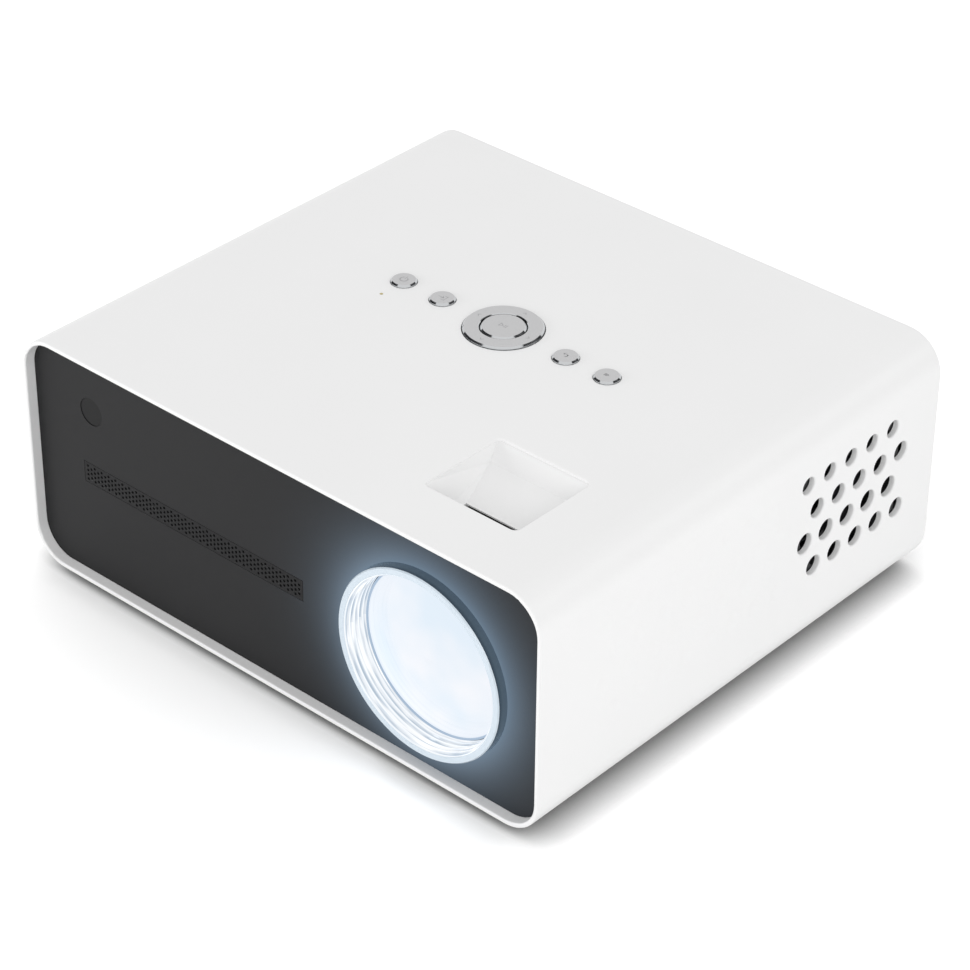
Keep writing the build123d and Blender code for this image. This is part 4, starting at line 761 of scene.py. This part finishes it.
def lacquered_board(name, colour, track_colour):
    """A lacquered board with paler, slightly raised tracks."""
    material, tree, shader = new_material(name, IOR=1.55, Roughness=0.3, Coat_Weight=0.3)
    place = add(tree, "ShaderNodeTexCoord")
    cell_scale = 1.0 / (TRACKS_PER_CELL * TRACK_MM * MM)
    cells = add(
        tree, "ShaderNodeTexVoronoi",
        {"Vector": place.outputs["Object"], "Scale": cell_scale}, distance="CHEBYCHEV",
    )
    steps = add(
        tree, "ShaderNodeMath", {0: cells.outputs["Distance"], 1: TRACKS_PER_CELL},
        operation="MULTIPLY",
    )
    wave = add(tree, "ShaderNodeMath", {0: steps.outputs[0], 1: 0.5}, operation="PINGPONG")
    line = add(
        tree, "ShaderNodeMapRange",
        {"Value": wave.outputs[0], "From Min": 0.2, "From Max": 0.3},
    ).outputs["Result"]
    lacquer = add(
        tree, "ShaderNodeMix",
        {0: line, 6: linear(colour), 7: linear(track_colour)}, data_type="RGBA",
    )
    relief = add(tree, "ShaderNodeBump", {"Height": line, "Distance": TRACK_DEPTH_MM * MM})
    tree.links.new(lacquer.outputs[2], shader.inputs["Base Color"])
    tree.links.new(relief.outputs["Normal"], shader.inputs["Normal"])
    return material


green_board = lacquered_board("glass-fibre board, green lacquer", "14532F", "1C6B3E")
dress(green_board, "main_board", "power_board", "key_board", "drive_board")
white_board = lacquered_board("copper-cored board, white lacquer", "E4E4DC", "D6D6CC")
dress(white_board, "led_lamp")
print("pieces left bare:", sorted(set(nodes) - dressed))

# %% [markdown]
# ## The floor
# A white floor that the camera sees as white paper: for camera, mirror and glass rays its colour
# is raised, so that the open floor reads as pure white and only the soft shadow by the object
# shows. More light would do that too, but it would wash out the object. The last 16 mm beside the
# object are darkened by ambient occlusion, which stands for the contact shadow that a product
# photograph keeps.

# %% White paper
FLOOR_REACH = 6.0
FLOOR_WHITE = 0.90
SEEN_WHITE = 1.35
CONTACT_MM = 16.0


def square_sheet(name, half, material):
    """A flat square, twice half wide, about the origin."""
    corners = [(x * half, y * half, 0) for x, y in ((-1, -1), (1, -1), (1, 1), (-1, 1))]
    mesh = bpy.data.meshes.new(name)
    mesh.from_pydata(corners, [], [(0, 1, 2, 3)])
    mesh.materials.append(material)
    sheet = bpy.data.objects.new(name, mesh)
    bpy.context.scene.collection.objects.link(sheet)
    return sheet


def white_paper():
    """Plain white for light that bounces, and whiter where it is looked at."""
    material = bpy.data.materials.new("white paper")
    material.use_nodes = True
    tree = material.node_tree
    tree.nodes.clear()
    path = add(tree, "ShaderNodeLightPath")
    looked_at = path.outputs["Is Camera Ray"]
    for ray in ("Is Glossy Ray", "Is Transmission Ray"):
        looked_at = add(
            tree, "ShaderNodeMath", {0: looked_at, 1: path.outputs[ray]}, operation="MAXIMUM"
        ).outputs[0]
    near = add(
        tree, "ShaderNodeAmbientOcclusion",
        {"Distance": CONTACT_MM * MM, "Color": (SEEN_WHITE, SEEN_WHITE, SEEN_WHITE, 1)},
        samples=24,
    )
    white = add(
        tree, "ShaderNodeMix",
        {
            0: looked_at, 6: (FLOOR_WHITE, FLOOR_WHITE, FLOOR_WHITE, 1),
            7: near.outputs["Color"],
        },
        data_type="RGBA",
    )
    paper = add(tree, "ShaderNodeBsdfDiffuse", {"Color": white.outputs[2]})
    output = add(tree, "ShaderNodeOutputMaterial")
    tree.links.new(paper.outputs[0], output.inputs["Surface"])
    return material


floor = square_sheet("floor", FLOOR_REACH, white_paper())
print("floor:", 2 * FLOOR_REACH, "m wide")

# %% [markdown]
# ## Black cards
# Bright metal shows what stands round it, and in an all-white room it goes flat. A photographer
# puts black cards beside the set to draw dark lines into such edges. These two are seen only in
# mirror reflections, so they take no light from the object and cast no shadow.

# %% Flags for the keys' edges
CARD_WIDTH = 0.95


def black_card(name, place):
    """A card beside the set, turned to the object, which only mirrors see."""
    material, tree, shader = new_material("black card", Roughness=1.0, Specular_IOR_Level=0.0)
    shader.inputs["Base Color"].default_value = linear("3A3A3C")
    card = square_sheet(name, CARD_WIDTH / 2, material)
    card.location = place
    card.rotation_euler = (-Vector(place)).to_track_quat("Z", "Y").to_euler()
    card.visible_camera = False
    card.visible_diffuse = False
    card.visible_shadow = False
    card.visible_transmission = False


black_card("right flag", (0.60, 0.60, 0.45))
black_card("left flag", (-0.72, -0.40, 0.45))
print("cards:", CARD_WIDTH, "m wide")

# %% [markdown]
# ## Light
# An even white room gives the soft, nearly shadowless light of a product photograph. Three weak
# round softboxes shape it: a key from the lens side, a low fill for the front, and one from behind
# for the rear edges. They stay weak, so that the white plastic keeps its shade and doesn't clip.

# %% Room and softboxes
ROOM_LEVEL = 0.855
AIM = Vector((0, 0, 0.05))


def softbox(name, place, size, power):
    """A round soft light, size metres across, aimed at the middle of the object."""
    lamp = bpy.data.lights.new(name, "AREA")
    lamp.shape = "DISK"
    lamp.size = size
    lamp.energy = power
    light = bpy.data.objects.new(name, lamp)
    light.location = place
    light.rotation_euler = (AIM - Vector(place)).to_track_quat("-Z", "Y").to_euler()
    bpy.context.scene.collection.objects.link(light)


world = bpy.data.worlds.new("white studio")
world.use_nodes = True
world.node_tree.nodes["Background"].inputs["Color"].default_value = (1, 1, 1, 1)
world.node_tree.nodes["Background"].inputs["Strength"].default_value = ROOM_LEVEL
bpy.context.scene.world = world
softbox("key softbox", (1.2, -1.1, 0.7), 1.0, 5.0)
softbox("fill softbox", (-1.1, -1.2, 0.3), 0.8, 6.5)
softbox("edge softbox", (1.0, 1.1, 1.0), 0.6, 2.0)
print("room level:", ROOM_LEVEL)

# %% [markdown]
# ## Camera
# The camera stands where the photograph was taken from: to the right of the front and above it.
# Its place, its long lens and its slight roll were worked out from the edges of the casing.

# %% Camera
CAMERA_PLACE = Vector((677.9, -758.7, 723.3)) * MM
AZIMUTH = radians(41.68)
ELEVATION = radians(34.044)
ROLL = radians(0.512)
LENS_MM = 122.87
SENSOR_MM = 36.0


def photo_camera():
    """A camera at the photograph's place, turned by its azimuth, elevation and roll."""
    level_share = cos(ELEVATION)
    back = Vector((sin(AZIMUTH) * level_share, -cos(AZIMUTH) * level_share, sin(ELEVATION)))
    level = Vector((cos(AZIMUTH), sin(AZIMUTH), 0))
    above = back.cross(level)
    right = cos(ROLL) * level + sin(ROLL) * above
    up = cos(ROLL) * above - sin(ROLL) * level
    data = bpy.data.cameras.new("photo camera")
    data.sensor_width = SENSOR_MM
    data.lens = LENS_MM
    camera = bpy.data.objects.new("photo camera", data)
    turn = Matrix((right, up, back)).transposed()
    camera.matrix_world = Matrix.Translation(CAMERA_PLACE) @ turn.to_4x4()
    bpy.context.scene.collection.objects.link(camera)
    bpy.context.scene.camera = camera


photo_camera()
bpy.context.scene.view_settings.view_transform = "Standard"
print("camera distance:", round(CAMERA_PLACE.length, 3), "m")
